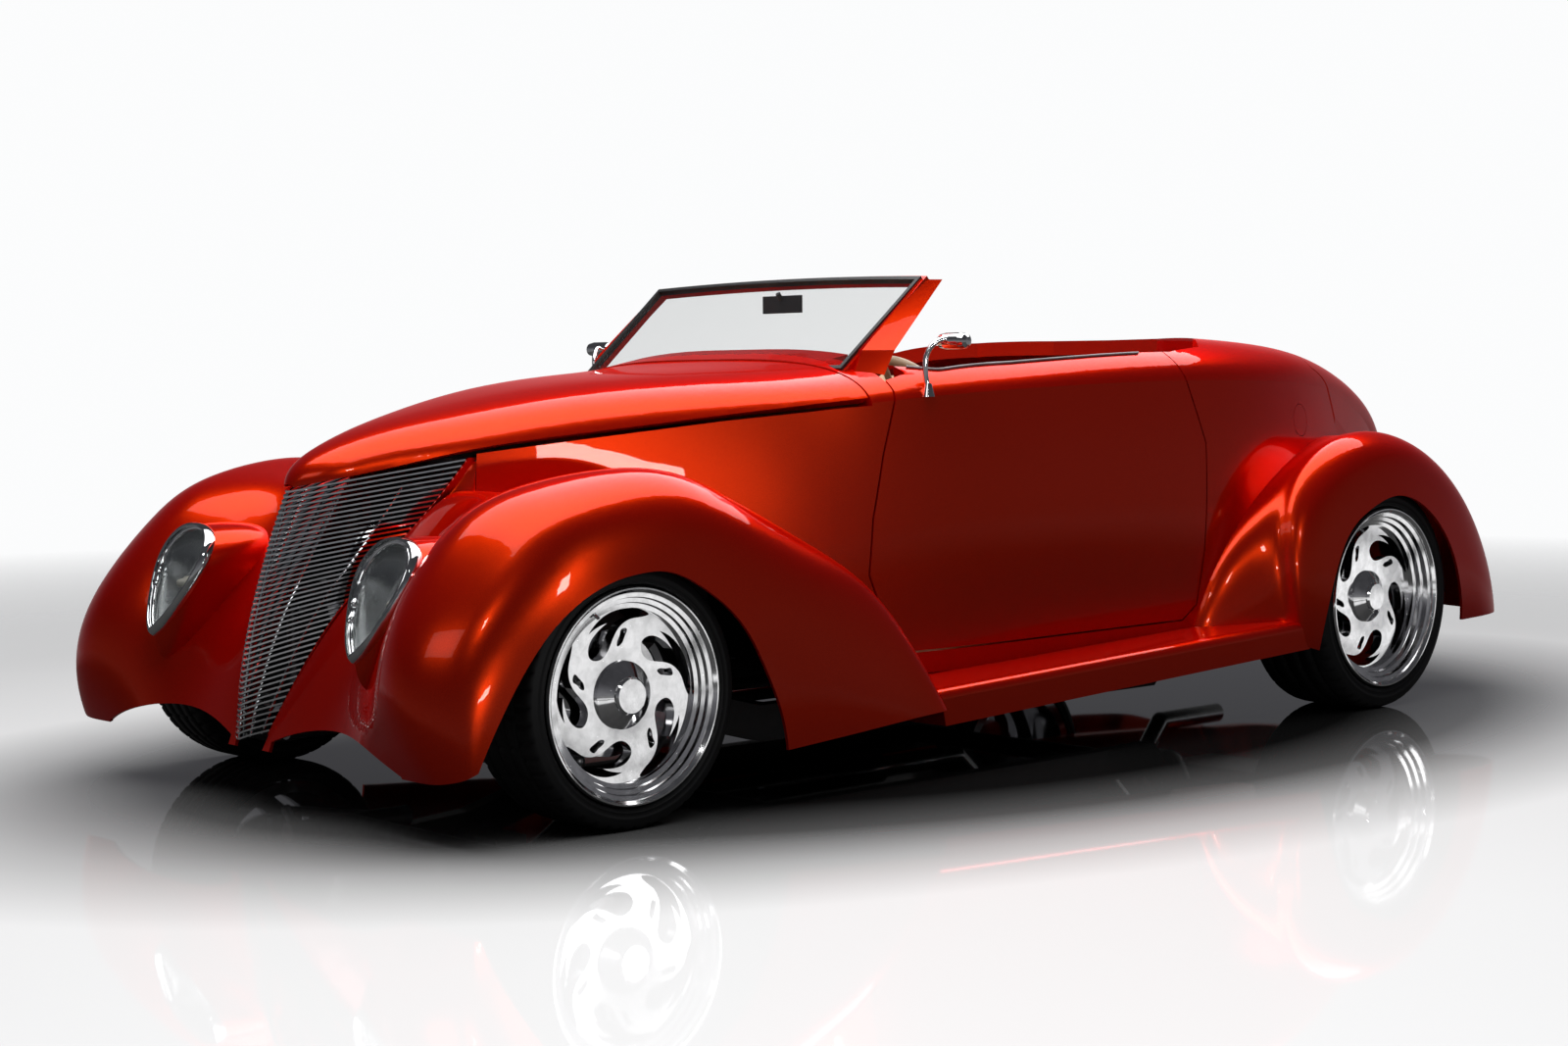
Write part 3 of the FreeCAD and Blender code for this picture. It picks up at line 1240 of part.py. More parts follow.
# Every piece by its name
pieces = {
    "chassis": chassis(),
    "floor_pan": floor_pan(),
    "engine": engine(),
    "engine_mounts": engine_mounts(),
    "nose_sides": both(nose_side()),
    "cowl": cowl(),
    "rear_tub": rear_tub(),
    "wheel_houses": both(wheel_house()),
    "hood": bonnet,
    "grille_bars": grille(),
    "grille_shell": grille_shell(),
    "fender_front_left": left_front_fender,
    "fender_front_right": mirrored(left_front_fender),
    "fender_rear_left": left_rear_fender,
    "fender_rear_right": mirrored(left_rear_fender),
    "headlamp_buckets": both(lamp_bucket()),
    "headlamp_bezels": both(lamp_bezel()),
    "headlamp_lenses": both(lamp_lens()),
    "headlamp_reflectors": both(lamp_reflector()),
    "tail_lamps": both(tail_lamp()),
    "number_plate": number_plate(),
    "radiator": radiator(),
    "running_boards": both(running_board()),
    "windshield_frame": screen_frame(),
    "windshield_gasket": screen_gasket(),
    "windshield_glass": screen_plate(),
    "door_left": left_door,
    "door_right": mirrored(left_door),
    "mirror_left": mirror(),
    "mirror_right": mirrored(mirror()),
    "deck_lid": trunk_lid,
    "fuel_door": fuel_door(),
    "lid_stops": Part.makeCompound(hood_stops + deck_stops),
    "dashboard": dash,
    "steering_column": steering_column(),
    "steering_wheel": steering_wheel(),
    "shifter": shifter(),
    "seat_cushion": seat_cushion(),
    "seat_back": seat_back(),
    "cabin_mirror": cabin_mirror(),
    "front_suspension": front_suspension(),
    "knuckle_left": knuckle(),
    "knuckle_right": mirrored(knuckle()),
    "rear_axle": rear_axle(),
    "exhaust": exhaust(),
    "fuel_tank": fuel_tank(),
}
for side, flip in (("left", False), ("right", True)):
    for end, shape, face_x, axle_y, radius in (
        ("rim_front", front_rim, FRONT_FACE_X, FRONT_AXLE_Y, FRONT_TYRE_R),
        ("tyre_front", front_tyre, FRONT_FACE_X, FRONT_AXLE_Y, FRONT_TYRE_R),
        ("rim_rear", rear_rim, REAR_FACE_X, REAR_AXLE_Y, REAR_TYRE_R),
        ("tyre_rear", rear_tyre, REAR_FACE_X, REAR_AXLE_Y, REAR_TYRE_R),
    ):
        placed = at_wheel(shape, face_x, axle_y, radius)
        pieces[end + "_" + side] = mirrored(placed) if flip else placed

for name, shape in pieces.items():
    shape.exportStep("parts/" + name + ".step")
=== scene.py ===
import bpy, json, math
from mathutils import Matrix, Vector
from mathutils.bvhtree import BVHTree


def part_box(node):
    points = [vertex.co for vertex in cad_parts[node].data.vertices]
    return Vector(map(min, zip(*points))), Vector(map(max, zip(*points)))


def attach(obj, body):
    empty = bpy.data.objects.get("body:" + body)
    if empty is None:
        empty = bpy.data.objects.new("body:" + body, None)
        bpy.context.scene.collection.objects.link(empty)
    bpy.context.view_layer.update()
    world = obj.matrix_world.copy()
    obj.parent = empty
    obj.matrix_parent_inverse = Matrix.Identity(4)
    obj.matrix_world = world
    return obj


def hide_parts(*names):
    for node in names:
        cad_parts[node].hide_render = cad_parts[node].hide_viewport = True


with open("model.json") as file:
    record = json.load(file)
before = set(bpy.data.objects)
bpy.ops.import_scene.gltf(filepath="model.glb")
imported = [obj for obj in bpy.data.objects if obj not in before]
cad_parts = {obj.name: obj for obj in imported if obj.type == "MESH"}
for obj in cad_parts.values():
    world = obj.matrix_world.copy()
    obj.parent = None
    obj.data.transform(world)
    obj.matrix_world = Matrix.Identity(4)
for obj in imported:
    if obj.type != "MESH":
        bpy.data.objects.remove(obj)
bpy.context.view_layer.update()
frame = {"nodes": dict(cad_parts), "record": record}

# The car in metres: front is -Y, the car's left is +X, and FRONT_Y is the front axle
NODES = frame["nodes"]
FRONT_Y = -1.620


# Shared helpers
def new_object(name, verts, faces, smooth=True):
    mesh = bpy.data.meshes.new(name)
    mesh.from_pydata([tuple(v) for v in verts], [], faces)
    mesh.update()
    obj = bpy.data.objects.new(name, mesh)
    bpy.context.scene.collection.objects.link(obj)
    if smooth:
        for poly in mesh.polygons:
            poly.use_smooth = True
    return obj


def material(name):
    mat = bpy.data.materials.new(name)
    mat.use_nodes = True
    return mat, mat.node_tree, mat.node_tree.nodes["Principled BSDF"]


def node(tree, kind, **values):
    made = tree.nodes.new(kind)
    for key, value in values.items():
        if key in made.inputs:
            made.inputs[key].default_value = value
        else:
            setattr(made, key, value)
    return made


def ramp(tree, source, stops):
    made = tree.nodes.new("ShaderNodeValToRGB")
    elements = made.color_ramp.elements
    while len(elements) < len(stops):
        elements.new(0.5)
    for element, (place, color) in zip(elements, stops):
        element.position = place
        element.color = (*color, 1.0)
    tree.links.new(source, made.inputs["Fac"])
    return made.outputs["Color"]


def bump(tree, height, bsdf, strength, distance):
    made = node(tree, "ShaderNodeBump", Strength=strength, Distance=distance)
    tree.links.new(height, made.inputs["Height"])
    tree.links.new(made.outputs["Normal"], bsdf.inputs["Normal"])


def coords(tree):
    return tree.nodes.new("ShaderNodeTexCoord").outputs["Object"]


def noise(tree, scale, detail=2.0, where=None):
    made = node(tree, "ShaderNodeTexNoise", Scale=scale, Detail=detail)
    tree.links.new(where or coords(tree), made.inputs["Vector"])
    return made.outputs["Fac"]


# Materials
def candy_paint():
    """Candy paint: orange flakes that flare near a light, over a deep red that fills the shade."""
    mat, tree, bsdf = material("candy_paint")
    flakes = node(tree, "ShaderNodeTexVoronoi", Scale=1500.0)
    tree.links.new(coords(tree), flakes.inputs["Vector"])
    deep = tree.nodes.new("ShaderNodeBsdfPrincipled")
    flake_stops = [(0.0, (0.64, 0.026, 0.002)), (0.5, (0.80, 0.040, 0.003)), (1.0, (1.0, 0.066, 0.004))]
    deep_stops = [(0.0, (0.42, 0.0010, 0.0008)), (1.0, (0.52, 0.0014, 0.0010))]
    for shader, metallic, rough, stops in ((bsdf, 1.0, 0.28, flake_stops), (deep, 0.0, 1.0, deep_stops)):
        tree.links.new(ramp(tree, flakes.outputs["Color"], stops), shader.inputs["Base Color"])
        shader.inputs["Metallic"].default_value = metallic
        shader.inputs["Roughness"].default_value = rough
    bsdf.inputs["Specular Tint"].default_value = (1.0, 0.22, 0.08, 1.0)
    deep.inputs["Specular IOR Level"].default_value = 0.0
    mix = node(tree, "ShaderNodeMixShader")
    mix.inputs[0].default_value = 0.52
    tree.links.new(bsdf.outputs[0], mix.inputs[1])
    tree.links.new(deep.outputs[0], mix.inputs[2])
    coat = tree.nodes.new("ShaderNodeBsdfMetallic")
    coat.fresnel_type = "F82"
    coat.inputs["Base Color"].default_value = (0.022, 0.013, 0.0115, 1.0)
    coat.inputs["Edge Tint"].default_value = (1.0, 1.0, 1.0, 1.0)
    coat.inputs["Roughness"].default_value = 0.012
    both = node(tree, "ShaderNodeAddShader")
    tree.links.new(mix.outputs[0], both.inputs[0])
    tree.links.new(coat.outputs[0], both.inputs[1])
    tree.links.new(both.outputs[0], tree.nodes["Material Output"].inputs["Surface"])
    return mat


def plain(name, color, metallic, roughness, grain=0.0, scale=400.0, coat=0.0):
    """One smooth colour with a faint cloud of shade, and a fine grain where one is given."""
    mat, tree, bsdf = material(name)
    dark = tuple(c * 0.82 for c in color)
    tint = ramp(tree, noise(tree, scale * 0.1, 3.0), [(0.35, dark), (0.65, color)])
    tree.links.new(tint, bsdf.inputs["Base Color"])
    bsdf.inputs["Metallic"].default_value = metallic
    bsdf.inputs["Roughness"].default_value = roughness
    bsdf.inputs["Coat Weight"].default_value = coat
    if grain:
        bump(tree, noise(tree, scale, 3.0), bsdf, grain, 0.0004)
    return mat


def glass():
    """Thin clear glass: light passes straight through, and the rest is a sharp reflection."""
    mat, tree, bsdf = material("glass")
    clear = node(tree, "ShaderNodeBsdfTransparent")
    clear.inputs["Color"].default_value = (0.985, 0.99, 0.988, 1)
    bsdf.inputs["Base Color"].default_value = (0.9, 0.93, 0.93, 1)
    bsdf.inputs["Roughness"].default_value = 0.02
    bsdf.inputs["Metallic"].default_value = 1.0
    facing = node(tree, "ShaderNodeLayerWeight", Blend=0.5)
    steep = node(tree, "ShaderNodeMath", operation="POWER")
    steep.inputs[1].default_value = 4.0
    tree.links.new(facing.outputs["Facing"], steep.inputs[0])
    edge = node(tree, "ShaderNodeMapRange")
    edge.inputs["To Min"].default_value = 0.03
    edge.inputs["To Max"].default_value = 0.8
    tree.links.new(steep.outputs[0], edge.inputs["Value"])
    mix = node(tree, "ShaderNodeMixShader")
    tree.links.new(edge.outputs[0], mix.inputs[0])
    tree.links.new(clear.outputs[0], mix.inputs[1])
    tree.links.new(bsdf.outputs[0], mix.inputs[2])
    tree.links.new(mix.outputs[0], tree.nodes["Material Output"].inputs["Surface"])
    return mat


def leather(name, color, scale=260.0):
    """Grained leather: pebbled cells, soft colour change and a slight sheen."""
    mat, tree, bsdf = material(name)
    where = coords(tree)
    tint = ramp(tree, noise(tree, 9.0, 4.0, where), [(0.3, tuple(c * 0.80 for c in color)), (0.7, color)])
    tree.links.new(tint, bsdf.inputs["Base Color"])
    cells = node(tree, "ShaderNodeTexVoronoi", Scale=scale, feature="DISTANCE_TO_EDGE")
    tree.links.new(where, cells.inputs["Vector"])
    bump(tree, cells.outputs["Distance"], bsdf, 0.35, 0.0006)
    bsdf.inputs["Roughness"].default_value = 0.46
    bsdf.inputs["Sheen Weight"].default_value = 0.15
    return mat


def carpet(name, color):
    """Short cut pile."""
    mat, tree, bsdf = material(name)
    pile = noise(tree, 900.0, 2.0)
    tint = ramp(tree, pile, [(0.3, tuple(c * 0.55 for c in color)), (0.7, color)])
    tree.links.new(tint, bsdf.inputs["Base Color"])
    bump(tree, pile, bsdf, 0.9, 0.002)
    bsdf.inputs["Roughness"].default_value = 0.95
    bsdf.inputs["Sheen Weight"].default_value = 0.4
    return mat


def rubber(name, color, roughness):
    """Moulded rubber with a fine matt grain and slightly scuffed tone."""
    mat, tree, bsdf = material(name)
    where = coords(tree)
    tint = ramp(tree, noise(tree, 14.0, 5.0, where), [(0.35, color), (0.75, tuple(c * 1.7 for c in color))])
    tree.links.new(tint, bsdf.inputs["Base Color"])
    bump(tree, noise(tree, 1400.0, 2.0, where), bsdf, 0.25, 0.0003)
    bsdf.inputs["Roughness"].default_value = roughness
    bsdf.inputs["Specular IOR Level"].default_value = 0.35
    return mat


def fluted(name, color, roughness, pitch, depth):
    """A polished face with upright flutes, as in a lamp."""
    mat, tree, bsdf = material(name)
    wave = node(tree, "ShaderNodeTexWave", Scale=1.0 / pitch)
    wave.bands_direction = "X"
    tree.links.new(coords(tree), wave.inputs["Vector"])
    bump(tree, wave.outputs["Fac"], bsdf, 1.0, depth)
    bsdf.inputs["Base Color"].default_value = (*color, 1)
    bsdf.inputs["Metallic"].default_value = 1.0
    bsdf.inputs["Roughness"].default_value = roughness
    return mat


MATS = {
    "candy_paint": candy_paint(),
    "tyre": rubber("tyre", (0.008, 0.008, 0.0085), 0.58),
    "polished_alloy": plain("polished_alloy", (0.86, 0.86, 0.87), 1.0, 0.10),
    "chrome": plain("chrome", (0.84, 0.85, 0.86), 1.0, 0.05),
    "glass": glass(),
    "black_trim": plain("black_trim", (0.015, 0.015, 0.016), 0.0, 0.45, 0.1, 700.0),
    "leather": leather("leather", (0.50, 0.34, 0.20)),
    "tan_trim": leather("tan_trim", (0.44, 0.30, 0.18), 420.0),
    "red_lens": plain("red_lens", (0.45, 0.01, 0.01), 0.0, 0.12, coat=1.0),
    "cast": plain("cast", (0.24, 0.24, 0.25), 0.7, 0.45, 0.3, 300.0),
    "steel": plain("steel", (0.42, 0.42, 0.43), 0.9, 0.35, 0.05, 300.0),
    "plate": plain("plate", (0.75, 0.75, 0.73), 0.2, 0.4),
    "reflector": fluted("reflector", (0.72, 0.74, 0.75), 0.22, 0.012, 0.003),
    "gauge": plain("gauge", (0.012, 0.012, 0.013), 0.0, 0.25, coat=0.6),
    "ivory": plain("ivory", (0.75, 0.72, 0.62), 0.0, 0.4),
    "grey_rubber": rubber("grey_rubber", (0.30, 0.30, 0.31), 0.5),
    "carpet": carpet("carpet", (0.33, 0.24, 0.16)),
    "chassis_black": plain("chassis_black", (0.028, 0.028, 0.03), 0.2, 0.38, coat=0.3),
}
for part in frame["record"]["subparts"]:
    obj = NODES[part["node"]]
    obj.data.materials.clear()
    obj.data.materials.append(MATS[part["material_slot"]])
NODES["headlamp_reflectors"].data.materials[0] = MATS["reflector"]


# Pieces
def add_piece(obj, mat, body):
    obj.data.materials.clear()
    obj.data.materials.append(MATS[mat])
    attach(obj, body)
    return obj


def lathe(name, profile, centre, count, shape=None):
    """A closed turned form about X from (radius, x) points; shape may change a radius at any step."""
    verts, faces = [], []
    rows = len(profile)
    for step in range(count):
        a = 2 * math.pi * step / count
        for k, (r, x) in enumerate(profile):
            radius = shape(step, k, r) if shape else r
            across, up = radius * math.cos(a), radius * math.sin(a)
            verts.append((centre[0] + x, centre[1] + across, centre[2] + up))
    for step in range(count):
        for k in range(rows):
            a, b = step * rows + k, step * rows + (k + 1) % rows
            c, d = (step + 1) % count * rows + (k + 1) % rows, (step + 1) % count * rows + k
            faces.append((a, b, c, d))
    return new_object(name, verts, faces)


def tube_path(name, points, radius, resolution=8, closed=False):
    """A round bar along a smooth curve."""
    data = bpy.data.curves.new(name, "CURVE")
    data.dimensions = "3D"
    spline = data.splines.new("NURBS")
    spline.points.add(len(points) - 1)
    for point, place in zip(spline.points, points):
        point.co = (*place, 1.0)
    spline.order_u = 3
    spline.use_endpoint_u = not closed
    spline.use_cyclic_u = closed
    data.bevel_depth = radius
    data.bevel_resolution = resolution
    data.use_fill_caps = True
    data.resolution_u = 6
    obj = bpy.data.objects.new(name, data)
    bpy.context.scene.collection.objects.link(obj)
    return obj


def tree_of(node_name):
    """A search tree of a node's faces, for rays."""
    mesh = NODES[node_name].data
    verts = [v.co.copy() for v in mesh.vertices]
    return BVHTree.FromPolygons(verts, [tuple(p.vertices) for p in mesh.polygons])


# Tyres: a rounded carcass with rim guard, sidewall rings, main grooves and cut shoulder blocks
TREAD_STEPS = 288
PLAIN, SHOULDER, GROOVE, RIB = range(4)
BEAD_IN = 0.011
BEAD_STEP = 0.004
GROOVE_DEPTH = 0.007
SHOULDER_CUT, SHOULDER_EVERY = 0.006, 6
RIB_CUT, RIB_EVERY = 0.004, 12
# How far up the wall and across the half width each point of the side lies, and its kind
SIDE_SHARES = [
    (0.20, 0.985, PLAIN), (0.24, 0.995, PLAIN), (0.27, 0.975, PLAIN), (0.45, 0.992, PLAIN),
    (0.49, 0.998, PLAIN), (0.53, 0.988, PLAIN), (0.70, 0.972, PLAIN), (0.80, 0.945, PLAIN),
    (0.89, 0.90, SHOULDER), (0.955, 0.83, SHOULDER), (0.988, 0.74, SHOULDER), (1.0, 0.64, SHOULDER),
]
# Across the half width: a groove's outer edge, floor and inner edge, and how far in each groove lies
GROOVE_SHARES = [0.60, 0.585, 0.535, 0.52]
GROOVE_SHIFT_SHARES = [0.0, 0.37]


def tyre_profile(inner, outer, half):
    """(radius, x, kind) from the bead over the side to the last groove."""
    wall, bead = outer - inner, half - BEAD_IN
    points = [(inner + BEAD_STEP, bead, PLAIN), (inner + wall * 0.10, bead + BEAD_STEP, PLAIN)]
    points += [(inner + wall * rise, half * across, kind) for rise, across, kind in SIDE_SHARES]
    for shift in GROOVE_SHIFT_SHARES:
        top, floor_a, floor_b, end = (half * (share - shift) for share in GROOVE_SHARES)
        points += [(outer, top, RIB), (outer - GROOVE_DEPTH, floor_a, GROOVE)]
        points += [(outer - GROOVE_DEPTH, floor_b, GROOVE), (outer, end, RIB)]
    return points


def make_tyre(node_name, body):
    """A tyre with tread in the place of the plain one."""
    low, high = (Vector(c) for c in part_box(node_name))
    centre = (low + high) / 2
    outer, half = (high.z - low.z) / 2, (high.x - low.x) / 2
    rim_low, rim_high = (Vector(c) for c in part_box(node_name.replace("tyre", "rim")))
    inner = (rim_high.z - rim_low.z) / 2 - 0.001
    profile = tyre_profile(inner, outer, half)
    section = profile + [(r, -x, kind) for r, x, kind in reversed(profile)]
    kinds = [p[2] for p in section]

    def cut(step, k, r):
        if kinds[k] == SHOULDER and step % SHOULDER_EVERY == 0:
            return r - SHOULDER_CUT
        if kinds[k] == RIB and step % RIB_EVERY == SHOULDER_EVERY // 2:
            return r - RIB_CUT
        return r

    obj = lathe(node_name + "_tread", [(r, x) for r, x, kind in section], centre, TREAD_STEPS, cut)
    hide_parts(node_name)
    return add_piece(obj, "tyre", body)


VALVE_R = 0.0042
VALVE_ANGLE = 118.0
VALVE_EDGE = 0.020
VALVE_DEPTH = 0.030
VALVE_RISE = 0.022


def valve_stem(end, side):
    """A short metal valve that leans out of the rim's barrel."""
    low, high = (Vector(c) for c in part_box(f"rim_{end}_{side}"))
    sign = 1 if side == "left" else -1
    face = high.x if side == "left" else low.x
    centre = (low + high) / 2
    turn = math.radians(VALVE_ANGLE)
    reach = (high.z - low.z) / 2 - VALVE_EDGE
    out = Vector((0, math.cos(turn), math.sin(turn)))
    foot = Vector((face - sign * VALVE_DEPTH, centre.y, centre.z)) + out * reach
    tip = foot - out * VALVE_RISE + Vector((sign * VALVE_EDGE, 0, 0))
    obj = tube_path(f"valve_{end}_{side}", [foot, foot.lerp(tip, 0.5), tip], VALVE_R)
    return add_piece(obj, "chrome", f"wheel_{end}_{side}")


WHEELS = [(end, side) for end in ("front", "rear") for side in ("left", "right")]
for end, side in WHEELS:
    make_tyre(f"tyre_{end}_{side}", f"wheel_{end}_{side}")
for end, side in WHEELS:
    valve_stem(end, side)


# Seats: pads swollen by a short cloth run, then sewn into upright channels
VOXEL = 0.011
CLOTH_FRAMES = 12
PAD_PRESSURE = 4.0
SWELL = 0.010
CHANNEL_PITCH = 0.070
CHANNEL_DEPTH = 0.009
MIDDLE_DEPTH, MIDDLE_HALF = 0.014, 0.03
PAD_EDGE = 0.10
PAD_OVER = 0.006


def swell(obj):
    """A cloth run under pressure, with the way of each point capped."""
    mesh = obj.data
    start = [v.co.copy() for v in mesh.vertices]
    cloth = obj.modifiers.new("cloth", "CLOTH")
    cloth.settings.use_pressure = True
    cloth.settings.uniform_pressure_force = PAD_PRESSURE
    cloth.settings.effector_weights.gravity = 0.0
    cloth.settings.quality = 4
    scene = bpy.context.scene
    for frame_number in range(1, CLOTH_FRAMES + 1):
        scene.frame_set(frame_number)
    bpy.ops.object.modifier_apply(modifier=cloth.name)
    scene.frame_set(1)
    for vert, first in zip(obj.data.vertices, start):
        move = vert.co - first
        if move.length > SWELL:
            vert.co = first + move.normalized() * SWELL


def sew(mesh, low, high):
    """Channels and a deeper middle seam pressed into the front and top, inside the seat's own box."""
    normals = [v.normal.copy() for v in mesh.vertices]
    for vert, normal in zip(mesh.vertices, normals):
        facing = max(normal.z, -normal.y, 0.0)
        edge = min((high.x - abs(vert.co.x)) / PAD_EDGE, 1.0)
        wave = abs(math.sin(math.pi * vert.co.x / CHANNEL_PITCH)) ** 0.45
        middle = min(abs(vert.co.x) / MIDDLE_HALF, 1.0)
        depth = CHANNEL_DEPTH * (1 - wave) * facing * max(edge, 0.0) + MIDDLE_DEPTH * (1 - middle) * facing
        vert.co -= normal * depth
        for axis in range(3):
            vert.co[axis] = min(max(vert.co[axis], low[axis] - PAD_OVER), high[axis] + PAD_OVER)


def soft_pad(node_name):
    """The seat solid as a stuffed leather pad with sewn channels along its length."""
    mesh = NODES[node_name].data.copy()
    obj = bpy.data.objects.new(node_name + "_pad", mesh)
    bpy.context.scene.collection.objects.link(obj)
    for poly in mesh.polygons:
        poly.use_smooth = True
    bpy.context.view_layer.objects.active = obj
    obj.select_set(True)
    remesh = obj.modifiers.new("remesh", "REMESH")
    remesh.mode = "VOXEL"
    remesh.voxel_size = VOXEL
    bpy.ops.object.modifier_apply(modifier=remesh.name)
    low, high = Vector(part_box(node_name)[0]), Vector(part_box(node_name)[1])
    for vert in obj.data.vertices:
        vert.co -= vert.normal * (SWELL * 0.8)
    swell(obj)
    mesh = obj.data
    mesh.update()
    sew(mesh, low, high)
    mesh.update()
    for poly in mesh.polygons:
        poly.use_smooth = True
    obj.select_set(False)
    smooth = obj.modifiers.new("subdivide", "SUBSURF")
    smooth.levels = smooth.render_levels = 1
    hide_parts(node_name)
    return add_piece(obj, "leather", "body")


soft_pad("seat_cushion")
soft_pad("seat_back")


# Cabin: door cards, carpets, weatherstrips, gauges
def skinned_grid(name, hits, thickness, mat, body):
    """A sheet laid over ray hits given as rows of points (None where nothing was hit)."""
    index, verts, faces = {}, [], []
    for i, row in enumerate(hits):
        for j, point in enumerate(row):
            if point is not None:
                index[i, j] = len(verts)
                verts.append(point)
    for i in range(len(hits) - 1):
        for j in range(len(hits[0]) - 1):
            corners = [(i, j), (i + 1, j), (i + 1, j + 1), (i, j + 1)]
            if all(c in index for c in corners):
                faces.append([index[c] for c in corners])
    obj = new_object(name, verts, faces)
    solid = obj.modifiers.new("thickness", "SOLIDIFY")
    solid.thickness = thickness
    solid.offset = 0.0
    bevel = obj.modifiers.new("soft_edge", "BEVEL")
    bevel.width = thickness * 0.3
    bevel.segments = 2
    bevel.limit_method = "ANGLE"
    return add_piece(obj, mat, body)


def spread(first, last, count):
    """Even places from the first to the last."""
    return [first + (last - first) * i / (count - 1) for i in range(count)]


CARD_T = 0.006
CARD_STAND_OFF = 0.0075
CARD_Z = (0.34, 0.90)
CARD_Y = (-0.455, 0.37)
PLEAT_Z = (0.40, 0.66)
PLEAT_PITCH = 0.055
PLEAT_DEPTH = 0.004


def door_card(side):
    """A pleated card that follows the door's inner face."""
    sign = 1 if side == "left" else -1
    tree = tree_of("door_" + side)
    rows = []
    for z in spread(*CARD_Z, 61):
        row = []
        for y in spread(*CARD_Y, 97):
            hit = tree.ray_cast(Vector((sign * 0.40, y, z)), Vector((sign, 0, 0)), 0.5)[0]
            pleat = 0.0
            if PLEAT_Z[0] < z < PLEAT_Z[1]:
                pleat = PLEAT_DEPTH * abs(math.sin(math.pi * y / PLEAT_PITCH)) ** 0.5
            row.append(hit and hit - Vector((sign * (CARD_STAND_OFF + pleat), 0, 0)))
        rows.append(row)
    return skinned_grid("door_card_" + side, rows, CARD_T, "leather", "door_" + side)


CARPET_T = 0.008
CARPET_RISE = 0.006
CARPET_X = (-0.56, 0.56)
CARPET_Y = (-0.74, -0.16)


def carpet_piece():
    """Carpet laid on the floor and up the toe board, in front of the seat."""
    tree = tree_of("floor_pan")
    rows = []
    down, rise = Vector((0, 0, -1)), Vector((0, 0, CARPET_RISE))
    for x in spread(*CARPET_X, 61):
        hits = [tree.ray_cast(Vector((x, y, 0.70)), down, 0.6)[0] for y in spread(*CARPET_Y, 41)]
        rows.append([hit and hit + rise for hit in hits])
    return skinned_grid("cabin_carpet", rows, CARPET_T, "carpet", "body")


STRIP_R = 0.0032
STRIP_Y = (-0.52, 0.34)
STRIP_SEARCH_X = 0.68
STRIP_SEARCH_STEP = 0.002


def weatherstrip(side):
    """A rubber line along the inner top edge of a door, found by rays from above."""
    sign = 1 if side == "left" else -1
    tree = tree_of("door_" + side)
    points = []
    for y in spread(*STRIP_Y, 24):
        edge = None
        for k in range(120):
            x = STRIP_SEARCH_X - k * STRIP_SEARCH_STEP
            hit = tree.ray_cast(Vector((sign * x, y, 1.3)), Vector((0, 0, -1)), 0.45)[0]
            if hit is not None:
                edge = hit
            elif edge is not None:
                break
        if edge is not None:
            points.append(edge + Vector((sign * 0.004, 0, 0.001)))
    strip = tube_path("weatherstrip_" + side, points, STRIP_R)
    return add_piece(strip, "grey_rubber", "door_" + side)


for side in ("left", "right"):
    door_card(side)
    weatherstrip(side)
carpet_piece()


DASH_LEAN = 9.0
TICKS = 11
TICK_START, TICK_TURN = -135.0, 27.0
NEEDLE_TURN = -60.0


def dial_line(turn, stations, radius):
    """Four corners of a line on a dial, from (share of radius, half width as a share) at both ends."""
    a = math.radians(turn)
    out, across = Vector((math.sin(a), -math.cos(a), 0)), Vector((math.cos(a), math.sin(a), 0))
    return [(out * r + across * (s * w)) * radius for r, w in stations for s in (-1, 1)]


def gauge(name, x, height, radius):
    """A round dial with a polished ring, plain ticks and a needle, on the sloping face of the dash."""
    lean = Vector((0, math.cos(math.radians(DASH_LEAN)), math.sin(math.radians(DASH_LEAN))))
    place = tree_of("dashboard").ray_cast(Vector((x, 0.0, height)), Vector((0, -1, 0)), 1.0)[0]
    up = lean.cross(Vector((1, 0, 0)))
    turn = Matrix((Vector((1, 0, 0)), -up, lean)).transposed()
    ring = [(radius * share, x) for share, x in ((0.86, 0.0), (0.88, 0.007), (0.94, 0.0095), (1.0, 0.007),
                                                 (1.03, 0.0))]
    face = [(0.0001, 0.002), (radius * 0.87, 0.002), (radius * 0.87, 0.0), (0.0001, 0.0)]
    parts = (("ring", ring, "chrome", "chrome"), ("face", face, "gauge", "black_trim"))
    for part, profile, mat, slot in parts:
        obj = lathe(f"{name}_{part}", profile, (0, 0, 0), 40)
        for vert in obj.data.vertices:
            axial, a, b = vert.co
            vert.co = place + turn @ Vector((a, b, axial))
        add_piece(obj, mat, "body")
    lines = [(TICK_START + TICK_TURN * n, ((0.66, 0.012), (0.80, 0.012)), 0.0024) for n in range(TICKS)]
    lines.append((NEEDLE_TURN, ((-0.12, 0.03), (0.74, 0.008)), 0.0036))
    verts = [
        place + turn @ (spot + Vector((0, 0, rise)))
        for angle, ends, rise in lines
        for spot in dial_line(angle, ends, radius)
    ]
    faces = [(n, n + 1, n + 3, n + 2) for n in range(0, len(verts), 4)]
    marks = new_object(name + "_marks", verts, faces, False)
    thick = marks.modifiers.new("thickness", "SOLIDIFY")
    thick.thickness = 0.0006
    add_piece(marks, "ivory", "body")


LARGE_GAUGES = {"gauge_speed": 0.300, "gauge_revs": 0.405}
SMALL_GAUGES = (0.10, 0.035, -0.035, -0.10)
for name, x in LARGE_GAUGES.items():
    gauge(name, x, 0.885, 0.048)
for number, x in enumerate(SMALL_GAUGES):
    gauge(f"gauge_small_{number}", x, 0.880, 0.026)


